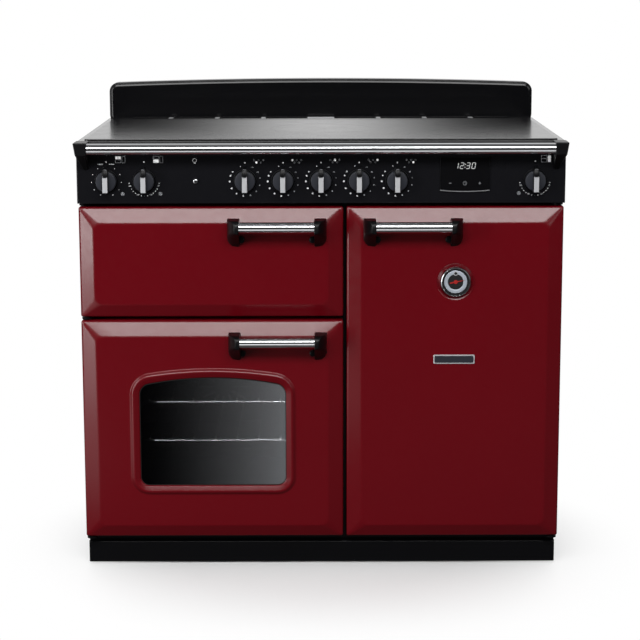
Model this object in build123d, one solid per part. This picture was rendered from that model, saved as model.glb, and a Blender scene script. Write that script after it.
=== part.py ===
from build123d import *
import math
import os

# Induction range cooker, in millimetres.
# The front faces -Y, +X is to the right, +Z is up, and the origin is on the floor under the middle.

# Widths of the fronts, from left to right
front_edge_inset = 0.5
left_door_width = 539.5
door_column_gap = 7.0
tall_door_width = 442.5

# Heights of the fronts, from the floor up
plinth_height = 50.0
plinth_floor_gap = 3.0
door_floor_gap = 19.0
oven_door_height = 462.0
door_row_gap = 8.0
grill_door_height = 228.0
panel_height = 110.0
hob_tray_height = 16.0
hob_glass_thickness = 4.0
upstand_end_height = 78.0
upstand_crown_rise = 9.0

# Depths, from the front back
handle_reach = 52.0
door_thickness = 47.0
bevel_depth = 13.0
door_frame_gap = 5.0
body_depth = 556.0
plinth_recess = 40.0
upstand_depth = 36.0
vent_depth = 78.0

# Sheet thicknesses and clearances
sheet = 2.0
frame_sheet = 4.0
side_inset = 2.0
seal_clearance = 0.3
run_clearance = 0.3
pin_clearance = 0.075
over = 1.0
least_radius = 1.0

# Door pressings
bevel_side = 31.0
bevel_top = 33.0
bevel_bottom = 27.0
door_corner_radius = 4.0
panel_corner_radius = 16.0
hinge_pin_radius = 4.0
hinge_edge_offset = 12.0
hinge_back_offset = 24.0
hinge_pin_length = 12.0
hinge_plate = 3.0
hinge_plate_margin = 7.0
hinge_boss_width = 3.0
hinge_bush_wall = 8.0
hinge_bush_depth = 16.0

# Window in the main oven door
window_width = 303.0
window_bottom_rise = 114.0
window_side_height = 213.0
window_arch_rise = 17.0
window_corner_radius = 18.0
window_bead_width = 17.0
window_bead_height = 4.0
window_bead_flat = 2.0
window_bead_land = 0.5
window_lap = 14.0
window_glass = 4.0
inner_glass_margin = 45.0

# Handles
handle_length = 202.0
handle_bar_radius = 11.0
handle_drop = 36.0
handle_edge_offset = 34.0
handle_end_width = 25.0
handle_end_nose = 9.0
handle_end_drop = 54.0
handle_end_shoulder = 37.0
handle_end_tip = 6.0
handle_nose_tip = 4.0
handle_foot_radius = 7.0
handle_foot_drop = 30.0
handle_foot_height = 9.0

# Dial thermometer on the tall door
gauge_from_edge = 220.0
gauge_drop = 154.0
gauge_radius = 31.5
gauge_dish_radius = 38.5
gauge_dish_depth = 3.0
gauge_front = 8.0
gauge_glass_radius = 26.0
gauge_glass_thickness = 1.5
gauge_dial_depth = 6.0
gauge_bezel_slope = 3.0
gauge_glass_inset = 0.5
gauge_ring_margin = 1.0
gauge_ring_outer = 23.5
gauge_ring_inner = 16.0
gauge_ring_height = 0.6
gauge_stem_radius = 4.0
gauge_stem_reach = 12.0
needle_pin_radius = 1.5
needle_hub_radius = 4.0
needle_length = 19.5
needle_tail = 12.0
needle_width = 2.4
needle_thickness = 1.0
needle_lift = 1.6
needle_pin_end = 0.5
needle_angle = 11.6

# Control panel
knob_rise = 46.0
left_knob_offset = 60.5
left_knob_pitch = 76.5
hob_knob_count = 5
hob_knob_pitch = 77.0
right_knob_offset = 62.0
knob_skirt_radius = 24.0
knob_skirt_depth = 5.0
knob_disc_radius = 21.5
knob_disc_depth = 8.0
knob_grip_width = 11.0
knob_grip_up = 30.0
knob_grip_down = 23.0
knob_grip_depth = 14.0
knob_grip_slope = 4.0
knob_grip_round = 5.0
knob_taper = 1.5
knob_insert_depth = 1.5
knob_insert_length = 29.0
knob_gap = 1.0
spindle_radius = 3.0
spindle_length = 22.0
switch_size = 40.0
switch_depth = 26.0
button_offset = 241.0
button_radius = 6.0
button_front = 5.0
button_travel = 3.0
button_chamfer = 1.0
plunger_radius = 3.0
clock_offset = 204.0
clock_width = 100.0
clock_height = 66.0
clock_rise = 28.0
clock_front = 3.0
clock_body_depth = 30.0
clock_margin = 6.0
clock_sag = 4.0
clock_strip = 3.0
clock_strip_proud = 1.0
clock_fit = 0.5

# Towel rail
rail_radius = 11.0
rail_drop = 15.0
rail_end_width = 27.0
rail_end_drop = 60.0
rail_end_nose = 24.0
rail_end_tip = 10.0
rail_tip_ratio = 0.7
rail_end_slant = 4.0

# Hob
glass_inset = 15.0
glass_corner_radius = 10.0
tray_lip = 32.0
coil_radii = (80.0, 105.0, 110.0, 80.0, 105.0)
coil_spread = 330.0
coil_row = 105.0
coil_hub_radius = 32.0
coil_thickness = 6.0
coil_gap = 1.0
vent_slot_depth = 44.0
vent_centre_width = 62.0
vent_rib_width = 10.0
vent_rib_pitch = 107.0
vent_first_rib = 133.0
vent_rib_count = 3
vent_end_margin = 60.0
vent_gap = 1.0
upstand_corner_radius = 20.0

# Oven cavities
rim_side = 47.0
rim_bottom = 49.0
rim_top = 51.0
cavity_depth = 392.0
cavity_flange = 14.0
cavity_radius = 14.0
seal_width = 9.0
seal_margin = 3.0

# Wire racks, shelves and grill pan
wire = 5.0
shelf_rod_radius = 2.5
shelf_wire = 4.0
shelf_wire_pitch = 46.0
shelf_front_gap = 16.0
shelf_rear_gap = 70.0
rack_first = 57.0
rack_pitch = 83.5
rack_front_gap = 40.0
rack_rear_gap = 95.0
shelf_side_play = 1.0
pan_height = 34.0
pan_side_gap = 12.0
pan_front_gap = 22.0
pan_depth = 320.0
pan_rear_gap = 16.0
pan_sheet = 2.0
pan_lip = 8.0
trivet_drop = 10.0
trivet_wire = 5.0
trivet_pitch = 42.0
grill_rod_radius = 4.0
grill_rod_runs = 6
grill_rod_drop = 16.0
grill_rod_margin = 45.0
grill_clip = 6.0

# Fans behind the baffles
fan_height_ratio = 0.5
fan_radius = 62.0
fan_hub_radius = 14.0
fan_blades = 14
fan_blade_depth = 22.0
fan_blade_thickness = 1.5
fan_blade_inner = 34.0
fan_blade_bow = 5.5
fan_plate = 2.0
fan_wall_gap = 10.0
fan_shaft_radius = 4.0
fan_shaft_hole = 8.0
fan_shaft_length = 42.0
baffle_gap = 48.0
baffle_width = 250.0
baffle_height = 230.0
baffle_sheet = 2.0
baffle_slots = 12
baffle_slot_width = 6.0
baffle_slot_inner = 22.0
baffle_slot_outer = 58.0
baffle_post = 6.0
baffle_post_inset = 12.0
fan_ring_radius = 82.0
fan_rod_radius = 4.0
fan_tail_radius = 3.0
fan_tail_spread = 9.0
motor_radius = 38.0
motor_length = 55.0
lamp_radius = 20.0
lamp_dome = 12.0
lamp_inset_side = 46.0
lamp_inset_top = 46.0

# Carcass
base_flange = 25.0
foot_radius = 20.0
foot_pad = 10.0
foot_stem_radius = 6.0
foot_nut_radius = 12.0
foot_nut = 8.0
foot_side = 65.0
foot_back = 60.0
roller_radius = 20.0
roller_width = 24.0
roller_pin_radius = 4.0
roller_rear = 60.0
fork_plate = 4.0
fork_gap = 0.5
fork_side = 12.0
plinth_flange = 40.0
louvre_count = 9
louvre_length = 160.0
louvre_height = 6.0
louvre_pitch = 16.0
terminal_width = 90.0
terminal_height = 70.0
terminal_depth = 45.0
terminal_wall = 3.0
terminal_offset = 120.0
terminal_rise = 80.0
terminal_flange = 8.0
gland_radius = 17.0
gland_bore = 12.0
gland_length = 12.0

# Planes and levels that follow from the sizes above
width = 2 * front_edge_inset + left_door_width + door_column_gap + tall_door_width
half = width / 2
depth = handle_reach + door_thickness + door_frame_gap + body_depth
y_front = -depth / 2
y_rear = depth / 2
door_face = y_front + handle_reach
door_edge = door_face + bevel_depth
door_back = door_face + door_thickness
frame_face = door_back + door_frame_gap
frame_rear = frame_face + frame_sheet
back_face = y_rear - sheet
left_x0 = -half + front_edge_inset
left_x1 = left_x0 + left_door_width
tall_x0 = left_x1 + door_column_gap
tall_x1 = tall_x0 + tall_door_width
base_z = plinth_height
door_z0 = plinth_height + door_floor_gap
oven_z1 = door_z0 + oven_door_height
grill_z0 = oven_z1 + door_row_gap
grill_z1 = grill_z0 + grill_door_height
panel_z0 = grill_z1 + door_row_gap
panel_z1 = panel_z0 + panel_height
glass_z0 = panel_z1 + hob_tray_height
hob_z = glass_z0 + hob_glass_thickness
side_x = half - side_inset
bar_y = y_front + handle_bar_radius
hinge_y = door_back - hinge_back_offset
left_hinge_x = left_x0 + hinge_edge_offset
tall_hinge_x = tall_x1 - hinge_edge_offset


def save(name, *solids):
    """Write one node, whose solids stay separate pieces."""
    shape = solids[0] if len(solids) == 1 else Compound(children=list(solids))
    export_step(shape, os.path.join("parts", name + ".step"))


def block(x0, x1, y0, y1, z0, z1):
    """Box between two corners."""
    return Pos((x0 + x1) / 2, (y0 + y1) / 2, (z0 + z1) / 2) * Box(x1 - x0, y1 - y0, z1 - z0)


def rod_x(x0, x1, y, z, r):
    """Round bar along X."""
    return Pos((x0 + x1) / 2, y, z) * Rot(0, 90, 0) * Cylinder(r, x1 - x0)


def rod_y(x, y0, y1, z, r):
    """Round bar along Y."""
    return Pos(x, (y0 + y1) / 2, z) * Rot(90, 0, 0) * Cylinder(r, y1 - y0)


def rod_z(x, y, z0, z1, r):
    """Round bar along Z."""
    return Pos(x, y, (z0 + z1) / 2) * Cylinder(r, z1 - z0)


def facing(y):
    """Drawing plane at depth y that faces the front: drawn right is +X and drawn up is +Z."""
    return Plane(origin=(0, y, 0), x_dir=(1, 0, 0), z_dir=(0, -1, 0)).location


def rounded(x0, x1, z0, z1, r, y):
    """Rounded rectangle on a front-facing plane."""
    return facing(y) * Pos((x0 + x1) / 2, (z0 + z1) / 2) * RectangleRounded(x1 - x0, z1 - z0, r)


def slab(x0, x1, z0, z1, r, y0, y1):
    """Upright rounded plate from its rear plane y1 forward to y0."""
    return extrude(rounded(x0, x1, z0, z1, r, y1), y1 - y0)


def tray_slab(x0, x1, y0, y1, z0, z1, r):
    """Level rounded plate."""
    outline = Pos((x0 + x1) / 2, (y0 + y1) / 2, z0) * RectangleRounded(x1 - x0, y1 - y0, r)
    return extrude(outline, z1 - z0)


def door_form(x0, x1, z0, z1, inset):
    """Door block with a raised middle panel and sloping borders, shrunk by inset on all but its rear."""
    a0, a1, b0, b1 = x0 + inset, x1 - inset, z0 + inset, z1 - inset
    y_edge, y_face = door_edge + inset, door_face + inset
    edge_r = max(door_corner_radius - inset, least_radius)
    edge_loop = rounded(a0, a1, b0, b1, edge_r, y_edge)
    face_loop = rounded(a0 + bevel_side, a1 - bevel_side, b0 + bevel_bottom, b1 - bevel_top,
                        panel_corner_radius, y_face)
    return slab(a0, a1, b0, b1, edge_r, y_edge, door_back) + loft([edge_loop, face_loop], ruled=True)


def door_skin(x0, x1, z0, z1, hinge_x):
    """Pressed door skin, open at the rear, with a bored hinge bush at its top and bottom edges."""
    skin = door_form(x0, x1, z0, z1, 0) - door_form(x0, x1, z0, z1, sheet)
    reach = hinge_pin_radius + hinge_bush_wall
    hole = hinge_pin_radius + pin_clearance
    for low, high in ((z0, z0 + hinge_bush_depth), (z1 - hinge_bush_depth, z1)):
        skin = skin + block(hinge_x - reach + sheet, hinge_x + reach, hinge_y - reach + sheet,
                            hinge_y + reach, low, high)
    for low, high in ((z0, z0 + hinge_bush_depth), (z1 - hinge_bush_depth, z1)):
        skin = skin - rod_z(hinge_x, hinge_y, low - over, high + over, hole)
    return skin


def door_liner(x0, x1, z0, z1):
    """Inner door panel that closes the skin, with a shallow pressed field."""
    corner = max(door_corner_radius - sheet, least_radius)
    plate = slab(x0 + sheet, x1 - sheet, z0 + sheet, z1 - sheet, corner, door_back - sheet, door_back)
    field = slab(x0 + bevel_side, x1 - bevel_side, z0 + bevel_bottom, z1 - bevel_top, panel_corner_radius,
                 door_back - 2 * sheet, door_back - sheet)
    dent = slab(x0 + bevel_side + sheet, x1 - bevel_side - sheet, z0 + bevel_bottom + sheet,
                z1 - bevel_top - sheet, panel_corner_radius - sheet, door_back - sheet, door_back + over)
    return plate + field - dent


def handle_end(x, side, z):
    """Wedge-shaped handle end with its lower outer corner cut away.

    side is +1 where the bar leaves it to the right, -1 to the left.
    """
    outer, nose, inner = x, x + side * (handle_end_width - handle_end_nose), x + side * handle_end_width
    top = z + handle_bar_radius
    low, chin = top - handle_end_drop, z - handle_bar_radius
    foot_loop = [(outer, top), (inner, top), (inner, low), (inner - side * handle_end_tip, low),
                 (outer, top - handle_end_shoulder)]
    nose_loop = [(nose, top), (inner, top), (inner, chin), (inner - side * handle_nose_tip, chin),
                 (nose, chin + handle_nose_tip)]
    loops = [facing(y) * make_face(Polyline(*loop, close=True))
             for loop, y in ((foot_loop, door_face), (nose_loop, y_front))]
    foot_z = z - handle_foot_drop
    foot = rod_y(inner + side * handle_foot_radius / 2, door_face - handle_foot_height, door_face, foot_z,
                 handle_foot_radius)
    return loft(loops, ruled=True) + foot


def handle(name, x0, z_top):
    """Round bar between two wedge-shaped ends."""
    z = z_top - handle_drop
    x1 = x0 + handle_length
    bar = rod_x(x0 + handle_end_width, x1 - handle_end_width, bar_y, z, handle_bar_radius)
    save(name + "_handle_bar", bar)
    save(name + "_handle_ends", handle_end(x0, 1, z), handle_end(x1, -1, z))


def window_face(grow, y):
    """Window outline with an arched head, grown outward."""
    middle = (left_x0 + left_x1) / 2
    x0, x1 = middle - window_width / 2 - grow, middle + window_width / 2 + grow
    z0 = door_z0 + window_bottom_rise - grow
    z1 = door_z0 + window_bottom_rise + window_side_height + grow
    crown = z1 + window_arch_rise
    outline = [Line((x0, z1), (x0, z0)), Line((x0, z0), (x1, z0)), Line((x1, z0), (x1, z1)),
               ThreePointArc((x1, z1), (middle, crown), (x0, z1))]
    face = make_face(outline)
    return facing(y) * fillet(face.vertices(), window_corner_radius + grow)


def cavity_box(x0, x1, z0, z1, y1):
    """Enamelled oven box, open at the front, with a flange on the rear of the front frame."""
    outer = slab(x0 - sheet, x1 + sheet, z0 - sheet, z1 + sheet, cavity_radius + sheet, frame_rear, y1)
    inner = slab(x0, x1, z0, z1, cavity_radius, frame_rear - over, y1 - sheet)
    flange = slab(x0 - cavity_flange, x1 + cavity_flange, z0 - cavity_flange, z1 + cavity_flange,
                  cavity_radius + cavity_flange, frame_rear, frame_rear + sheet)
    return outer + flange - inner


def seal_ring(x0, x1, z0, z1):
    """Soft seal round an oven opening, just clear of the door liner."""
    near, far = seal_margin, seal_margin + seal_width
    y0 = door_back + seal_clearance
    ring = slab(x0 - far, x1 + far, z0 - far, z1 + far, cavity_radius + far, y0, frame_face)
    hole = slab(x0 - near, x1 + near, z0 - near, z1 + near, cavity_radius + near, y0 - over,
                frame_face + over)
    return ring - hole


def rack(x_wall, side, z0, count, y0, y1):
    """Wire side rack: two posts on the wall, and a runner at each level."""
    post0, post1 = sorted((x_wall, x_wall + side * wire))
    run0, run1 = sorted((x_wall + side * wire, x_wall + side * 2 * wire))
    top = z0 + rack_first + (count - 1) * rack_pitch
    posts_y = (y0 + rack_front_gap, y1 - rack_rear_gap - wire)
    body = None
    for y in posts_y:
        post = block(post0, post1, y, y + wire, z0 + rack_first - 2 * wire, top + wire)
        body = post if body is None else body + post
    for i in range(count):
        level = z0 + rack_first + i * rack_pitch
        body = body + block(run0, run1, y0 + shelf_front_gap, y1 - shelf_rear_gap, level - wire, level)
    return body


def shelf(x0, x1, y0, y1, z):
    """Wire shelf that rests on the runners at height z."""
    a0, a1 = x0 + wire + shelf_side_play, x1 - wire - shelf_side_play
    body = block(a0, a0 + wire, y0, y1, z, z + wire)
    body = body + block(a1 - wire, a1, y0, y1, z, z + wire)
    rod_z_level = z + wire / 2
    for y in (y0 + shelf_rod_radius, (y0 + y1) / 2, y1 - shelf_rod_radius):
        body = body + rod_x(a0, a1, y, rod_z_level, shelf_rod_radius)
    span = a1 - a0 - 2 * wire
    count = int(span // shelf_wire_pitch)
    first = (a0 + a1) / 2 - (count - 1) * shelf_wire_pitch / 2
    for i in range(count):
        x = first + i * shelf_wire_pitch
        body = body + block(x - shelf_wire / 2, x + shelf_wire / 2, y0, y1,
                            z + wire - shelf_wire / 2, z + wire + shelf_wire / 2)
    return body


def baffle(x, z, y_wall):
    """Fan baffle on four posts, with a ring of radial slots in front of the impeller."""
    y0 = y_wall - baffle_gap
    x0, x1 = x - baffle_width / 2, x + baffle_width / 2
    z0, z1 = z - baffle_height / 2, z + baffle_height / 2
    plate = slab(x0, x1, z0, z1, cavity_radius, y0, y0 + baffle_sheet)
    slot_length = baffle_slot_outer - baffle_slot_inner
    slot = SlotOverall(slot_length, baffle_slot_width)
    middle = (baffle_slot_outer + baffle_slot_inner) / 2
    slots = [Pos(x, z) * Rot(0, 0, i * 360 / baffle_slots) * Pos(middle, 0) * slot
             for i in range(baffle_slots)]
    plate = plate - extrude(facing(y0 + baffle_sheet + over) * Sketch(children=slots),
                            baffle_sheet + 2 * over)
    for px in (x0 + baffle_post_inset, x1 - baffle_post_inset):
        for pz in (z0 + baffle_post_inset, z1 - baffle_post_inset):
            plate = plate + rod_y(px, y0 + baffle_sheet, y_wall, pz, baffle_post)
    return plate


def impeller(x, z, y_wall):
    """Radial fan wheel with curved blades on a back plate, and a shaft through the oven's rear wall."""
    y_plate = y_wall - fan_wall_gap
    wheel = rod_y(x, y_plate - fan_plate, y_plate, z, fan_radius)
    wheel = wheel + rod_y(x, y_plate - fan_blade_depth, y_plate, z, fan_hub_radius)
    wheel = wheel + rod_y(x, y_plate - fan_plate, y_wall + fan_shaft_length, z, fan_shaft_radius)
    blade_in, blade_out, bow = fan_blade_inner, fan_radius - fan_plate, fan_blade_bow
    inner_arc = ThreePointArc((blade_in, 0), ((blade_in + blade_out) / 2, bow), (blade_out, 0))
    outer_arc = ThreePointArc((blade_out, fan_blade_thickness),
                              ((blade_in + blade_out) / 2, bow + fan_blade_thickness),
                              (blade_in, fan_blade_thickness))
    blade = make_face([inner_arc, Line((blade_out, 0), (blade_out, fan_blade_thickness)), outer_arc,
                       Line((blade_in, fan_blade_thickness), (blade_in, 0))])
    ring = [Pos(x, z) * Rot(0, 0, i * 360 / fan_blades) * blade for i in range(fan_blades)]
    return wheel + extrude(facing(y_plate - fan_plate) * Sketch(children=ring), fan_blade_depth - fan_plate)


def fan_ring(x, z, y_wall):
    """Sheathed element ring round the impeller, with two straight tails into the rear wall."""
    y = y_wall - baffle_gap / 2
    ring = Pos(x, y, z) * Rot(90, 0, 0) * Torus(fan_ring_radius, fan_rod_radius)
    for dx in (-fan_tail_spread, fan_tail_spread):
        dz = math.sqrt(fan_ring_radius ** 2 - dx ** 2)
        ring = ring + rod_y(x + dx, y, y_wall, z - dz, fan_tail_radius)
    return ring


def motor(x, z, y_wall):
    """Fan motor on the rear of the oven wall, bored for the impeller shaft."""
    y0 = y_wall + sheet
    can = rod_y(x, y0 + sheet, y0 + motor_length, z, motor_radius)
    foot = block(x - motor_radius, x + motor_radius, y0, y0 + sheet, z - motor_radius, z + motor_radius)
    return can + foot - rod_y(x, y0 - over, y0 + motor_length - sheet, z, fan_shaft_radius + pin_clearance)


def knob_body(x, z):
    """Rotary knob with its spindle: skirt, disc and a full-height grip bar that is proud at the top."""
    y0 = door_face - knob_gap
    y1 = y0 - knob_skirt_depth
    y2 = y1 - knob_disc_depth
    y3 = y2 - knob_grip_depth
    skirt_top, disc_top = knob_skirt_radius - knob_taper, knob_disc_radius - knob_taper
    profile = Polyline((0, y0), (knob_skirt_radius, y0), (skirt_top, y1), (knob_disc_radius, y1),
                       (disc_top, y2), (0, y2), close=True)
    turned = revolve(make_face(profile), Axis.Y)
    body = Pos(x, 0, z) * turned
    head, heel = knob_grip_up, -knob_grip_down
    grip_side = [(y1, head - knob_grip_slope), (y2, head),
                 (y3 + knob_grip_round, head - knob_grip_slope / 2), (y3, head - 2 * knob_grip_slope),
                 (y3, heel + knob_grip_round), (y2, heel), (y1, heel + knob_grip_slope)]
    side_plane = Plane(origin=(x - knob_grip_width / 2, 0, z), x_dir=(0, 1, 0), z_dir=(1, 0, 0)).location
    grip = extrude(side_plane * make_face(Polyline(*grip_side, close=True)), knob_grip_width)
    low, high = heel + knob_grip_round, heel + knob_grip_round + knob_insert_length
    half_w = knob_grip_width / 2
    pocket = block(x - half_w, x + half_w, y3, y3 + knob_insert_depth, z + low, z + high)
    stem = rod_y(x, y0, door_face + spindle_length, z, spindle_radius)
    return body + grip + stem - pocket, pocket


def spindle_switch(x, z):
    """Rotary switch on the rear of the panel, bored for the knob's spindle."""
    y0 = door_face + sheet
    r = switch_size / 2
    return (block(x - r, x + r, y0, y0 + switch_depth, z - r, z + r)
            - rod_y(x, y0 - over, y0 + switch_depth - sheet, z, spindle_radius + pin_clearance))


def rail_end(side):
    """Towel rail bracket that narrows down the panel to a tip."""
    out, top = side * (half - front_edge_inset), hob_z - sheet
    inn = out - side * rail_end_width
    mid = out + (inn - out) * rail_tip_ratio
    low, nose = top - rail_end_drop, top - rail_end_nose
    tip = rail_end_tip / 2
    back_loop = [(out, top), (inn, top), (mid - side * tip, low), (mid + side * tip, low)]
    nose_loop = [(out, top), (inn, top), (inn, nose), (out - side * rail_end_slant, nose)]
    loops = [facing(y) * make_face(Polyline(*loop, close=True))
             for loop, y in ((back_loop, door_face), (nose_loop, y_front))]
    return loft(loops, ruled=True)


def hinge_bracket(x, z, ups):
    """Hinge plate in the gap between fronts, with pins and shoulder bosses up or down."""
    r = hinge_pin_radius + hinge_plate_margin
    plate = block(x - r, x + r, hinge_y, frame_face, z - hinge_plate / 2, z + hinge_plate / 2)
    plate = plate + rod_z(x, hinge_y, z - hinge_plate / 2, z + hinge_plate / 2, r)
    for up in ups:
        face = z + up * hinge_plate / 2
        boss = up * (door_row_gap / 2 - hinge_plate / 2 - run_clearance)
        tip = up * (door_row_gap / 2 - hinge_plate / 2 + hinge_pin_length)
        plate = plate + rod_z(x, hinge_y, min(face, face + boss), max(face, face + boss),
                              hinge_pin_radius + hinge_boss_width)
        plate = plate + rod_z(x, hinge_y, min(face, face + tip), max(face, face + tip), hinge_pin_radius)
    return plate


def fork_wheel(x):
    """Rear roller, bored for the fork pin."""
    y = y_rear - roller_rear
    return (rod_x(x - roller_width / 2, x + roller_width / 2, y, roller_radius, roller_radius)
            - rod_x(x - roller_width, x + roller_width, y, roller_radius, roller_pin_radius + pin_clearance))


def fork(x):
    """Roller fork under the base tray: two cheeks and a pin."""
    y = y_rear - roller_rear
    near = roller_width / 2 + fork_gap
    far = near + fork_plate
    body = rod_x(x - far, x + far, y, roller_radius, roller_pin_radius)
    for a, b in ((-far, -near), (near, far)):
        body = body + block(x + a, x + b, y - fork_side, y + fork_side, roller_radius - fork_side / 2,
                            base_z)
    return body


# Openings of the three cavities
left_open = (left_x0 + rim_side, left_x1 - rim_side)
tall_open = (tall_x0 + rim_side, tall_x1 - rim_side)
grill_open = (grill_z0 + rim_bottom, grill_z1 - rim_top)
oven_open = (door_z0 + rim_bottom, oven_z1 - rim_top)
high_open = (door_z0 + rim_bottom, grill_z1 - rim_top)
cavity_rear = frame_rear + cavity_depth
cavity_wall = cavity_rear - sheet
grill_rear = frame_rear + pan_front_gap + pan_depth + pan_rear_gap + sheet
foot_x = side_x - foot_side
roller_x = side_x - foot_side

os.makedirs("parts", exist_ok=True)

# Carcass: base tray with roller forks, side panels, back panel, front frame, plinth and feet
tray_x = side_x - sheet
base = block(-tray_x, tray_x, frame_rear, back_face, base_z, base_z + sheet)
for a, b in ((-tray_x, -tray_x + sheet), (tray_x - sheet, tray_x)):
    base = base + block(a, b, frame_rear, back_face, base_z, base_z + base_flange)
base = base + block(-tray_x, tray_x, back_face - sheet, back_face, base_z, base_z + base_flange)
for x in (-roller_x, roller_x):
    base = base + fork(x)
save("base_tray", base)

side_span = (frame_rear, back_face, base_z, panel_z1)
save("side_panels", block(-side_x, -tray_x, *side_span), block(tray_x, side_x, *side_span))

terminal_x = side_x - terminal_offset
terminal_z = base_z + terminal_rise
term = (terminal_x - terminal_width / 2, terminal_x + terminal_width / 2,
        terminal_z - terminal_height / 2, terminal_z + terminal_height / 2)
back = block(-side_x, side_x, back_face, y_rear, base_z, panel_z1)
louvre_z = panel_z1 - louvre_count * louvre_pitch - louvre_pitch
for x in (-half / 2, half / 2):
    for i in range(louvre_count):
        z = louvre_z + i * louvre_pitch
        back = back - block(x - louvre_length / 2, x + louvre_length / 2, back_face - over, y_rear + over,
                            z, z + louvre_height)
back = back - block(term[0], term[1], back_face - over, y_rear + over, term[2], term[3])
save("back_panel", back)

frame = block(-side_x, side_x, frame_face, frame_rear, base_z, panel_z1)
for xs, zs in ((left_open, grill_open), (left_open, oven_open), (tall_open, high_open)):
    frame = frame - slab(xs[0], xs[1], zs[0], zs[1], cavity_radius, frame_face - over, frame_rear + over)
save("front_frame", frame)

plinth_y = door_face + plinth_recess
plinth = block(-side_x, side_x, plinth_y, plinth_y + sheet, plinth_floor_gap, base_z)
plinth = plinth + block(-side_x, side_x, plinth_y, plinth_y + plinth_flange, base_z - sheet, base_z)
save("plinth", plinth)

feet = []
for x in (-foot_x, foot_x):
    y = frame_rear + foot_back
    foot = rod_z(x, y, 0, foot_pad, foot_radius) + rod_z(x, y, foot_pad, base_z, foot_stem_radius)
    nut = Pos(x, y, base_z - foot_nut) * extrude(RegularPolygon(foot_nut_radius, 6), foot_nut)
    feet.append(foot + nut)
save("levelling_feet", *feet)
save("roller_left", fork_wheel(-roller_x))
save("roller_right", fork_wheel(roller_x))

box_y = back_face - terminal_depth
terminal = block(term[0], term[1], box_y, y_rear, term[2], term[3])
terminal = terminal - block(term[0] + terminal_wall, term[1] - terminal_wall, box_y - over,
                            y_rear - terminal_wall, term[2] + terminal_wall, term[3] - terminal_wall)
rim = block(term[0] - terminal_flange, term[1] + terminal_flange, back_face - sheet, back_face,
            term[2] - terminal_flange, term[3] + terminal_flange)
terminal = terminal + (rim - block(term[0], term[1], back_face - sheet, back_face, term[2], term[3]))
terminal = terminal + rod_y(terminal_x, y_rear - gland_length, y_rear, terminal_z, gland_radius)
terminal = terminal - rod_y(terminal_x, y_rear - gland_length - over, y_rear + over, terminal_z, gland_bore)
save("terminal_box", terminal)

# Oven cavities and seals
grill_box = cavity_box(*left_open, *grill_open, grill_rear)
save("grill_cavity", grill_box)
oven_x = (left_open[0] + left_open[1]) / 2
oven_z = (oven_open[0] + oven_open[1]) / 2
tall_x = (tall_open[0] + tall_open[1]) / 2
tall_z = high_open[0] + (high_open[1] - high_open[0]) * fan_height_ratio
fans = ((oven_x, oven_z), (tall_x, tall_z))
boxes = (cavity_box(*left_open, *oven_open, cavity_rear), cavity_box(*tall_open, *high_open, cavity_rear))
boxes = [box - rod_y(x, cavity_wall - over, cavity_rear + over, z, fan_shaft_hole)
         for box, (x, z) in zip(boxes, fans)]
save("main_oven_cavity", boxes[0])
save("tall_oven_cavity", boxes[1])
save("oven_seals", seal_ring(*left_open, *grill_open), seal_ring(*left_open, *oven_open),
     seal_ring(*tall_open, *high_open))

# Fans: baffles, impellers, element rings and motors
save("fan_baffles", *[baffle(x, z, cavity_wall) for x, z in fans])
save("main_fan_wheel", impeller(*fans[0], cavity_wall))
save("tall_fan_wheel", impeller(*fans[1], cavity_wall))
save("fan_motors", *[motor(x, z, cavity_wall) for x, z in fans])

# Grill element: one rod bent back and forth under the grill ceiling, held by clips
rod_z_level = grill_open[1] - grill_rod_drop
run_pitch = (left_open[1] - left_open[0] - 2 * grill_rod_margin) / (grill_rod_runs - 1)
run_y0, run_y1 = frame_rear + grill_rod_margin, grill_rear - sheet - grill_rod_margin
turn = run_pitch / 2
path = []
for i in range(grill_rod_runs):
    x = left_open[0] + grill_rod_margin + i * run_pitch
    ends = (run_y1 - turn, run_y0 + turn) if i % 2 == 0 else (run_y0 + turn, run_y1 - turn)
    start_y = grill_rear - sheet if i == 0 else ends[0]
    stop_y = grill_rear - sheet if i == grill_rod_runs - 1 else ends[1]
    path.append(Line((x, start_y, rod_z_level), (x, stop_y, rod_z_level)))
    if i < grill_rod_runs - 1:
        bow = run_y0 if i % 2 == 0 else run_y1
        path.append(ThreePointArc((x, ends[1], rod_z_level), (x + turn, bow, rod_z_level),
                                  (x + run_pitch, ends[1], rod_z_level)))
wire_path = Wire(Curve() + path)
section = Plane(origin=wire_path @ 0, z_dir=wire_path % 0) * Circle(grill_rod_radius)
grill_rod = sweep(section, path=wire_path)
for x in (left_open[0] + grill_rod_margin + run_pitch, left_open[1] - grill_rod_margin - run_pitch):
    clip_y = (run_y0 + run_y1) / 2
    grill_rod = grill_rod + block(x - grill_clip / 2, x + grill_clip / 2, clip_y - grill_clip,
                                  clip_y + grill_clip, rod_z_level, grill_open[1])
save("heating_elements", grill_rod, *[fan_ring(x, z, cavity_wall) for x, z in fans])

# Wire racks and shelves
racks = []
for xs, zs, count in ((left_open, oven_open, 4), (tall_open, high_open, 6)):
    racks.append(rack(xs[0], 1, zs[0], count, frame_rear, cavity_wall))
    racks.append(rack(xs[1], -1, zs[0], count, frame_rear, cavity_wall))
save("oven_side_racks", *racks)
shelf_y = (frame_rear + shelf_front_gap, cavity_wall - shelf_rear_gap)
shelves = []
for xs, zs, levels in ((left_open, oven_open, (1, 2)), (tall_open, high_open, (0, 2, 3, 5))):
    for level in levels:
        shelves.append(shelf(xs[0], xs[1], *shelf_y, zs[0] + rack_first + level * rack_pitch))
save("oven_shelves", *shelves)

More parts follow.
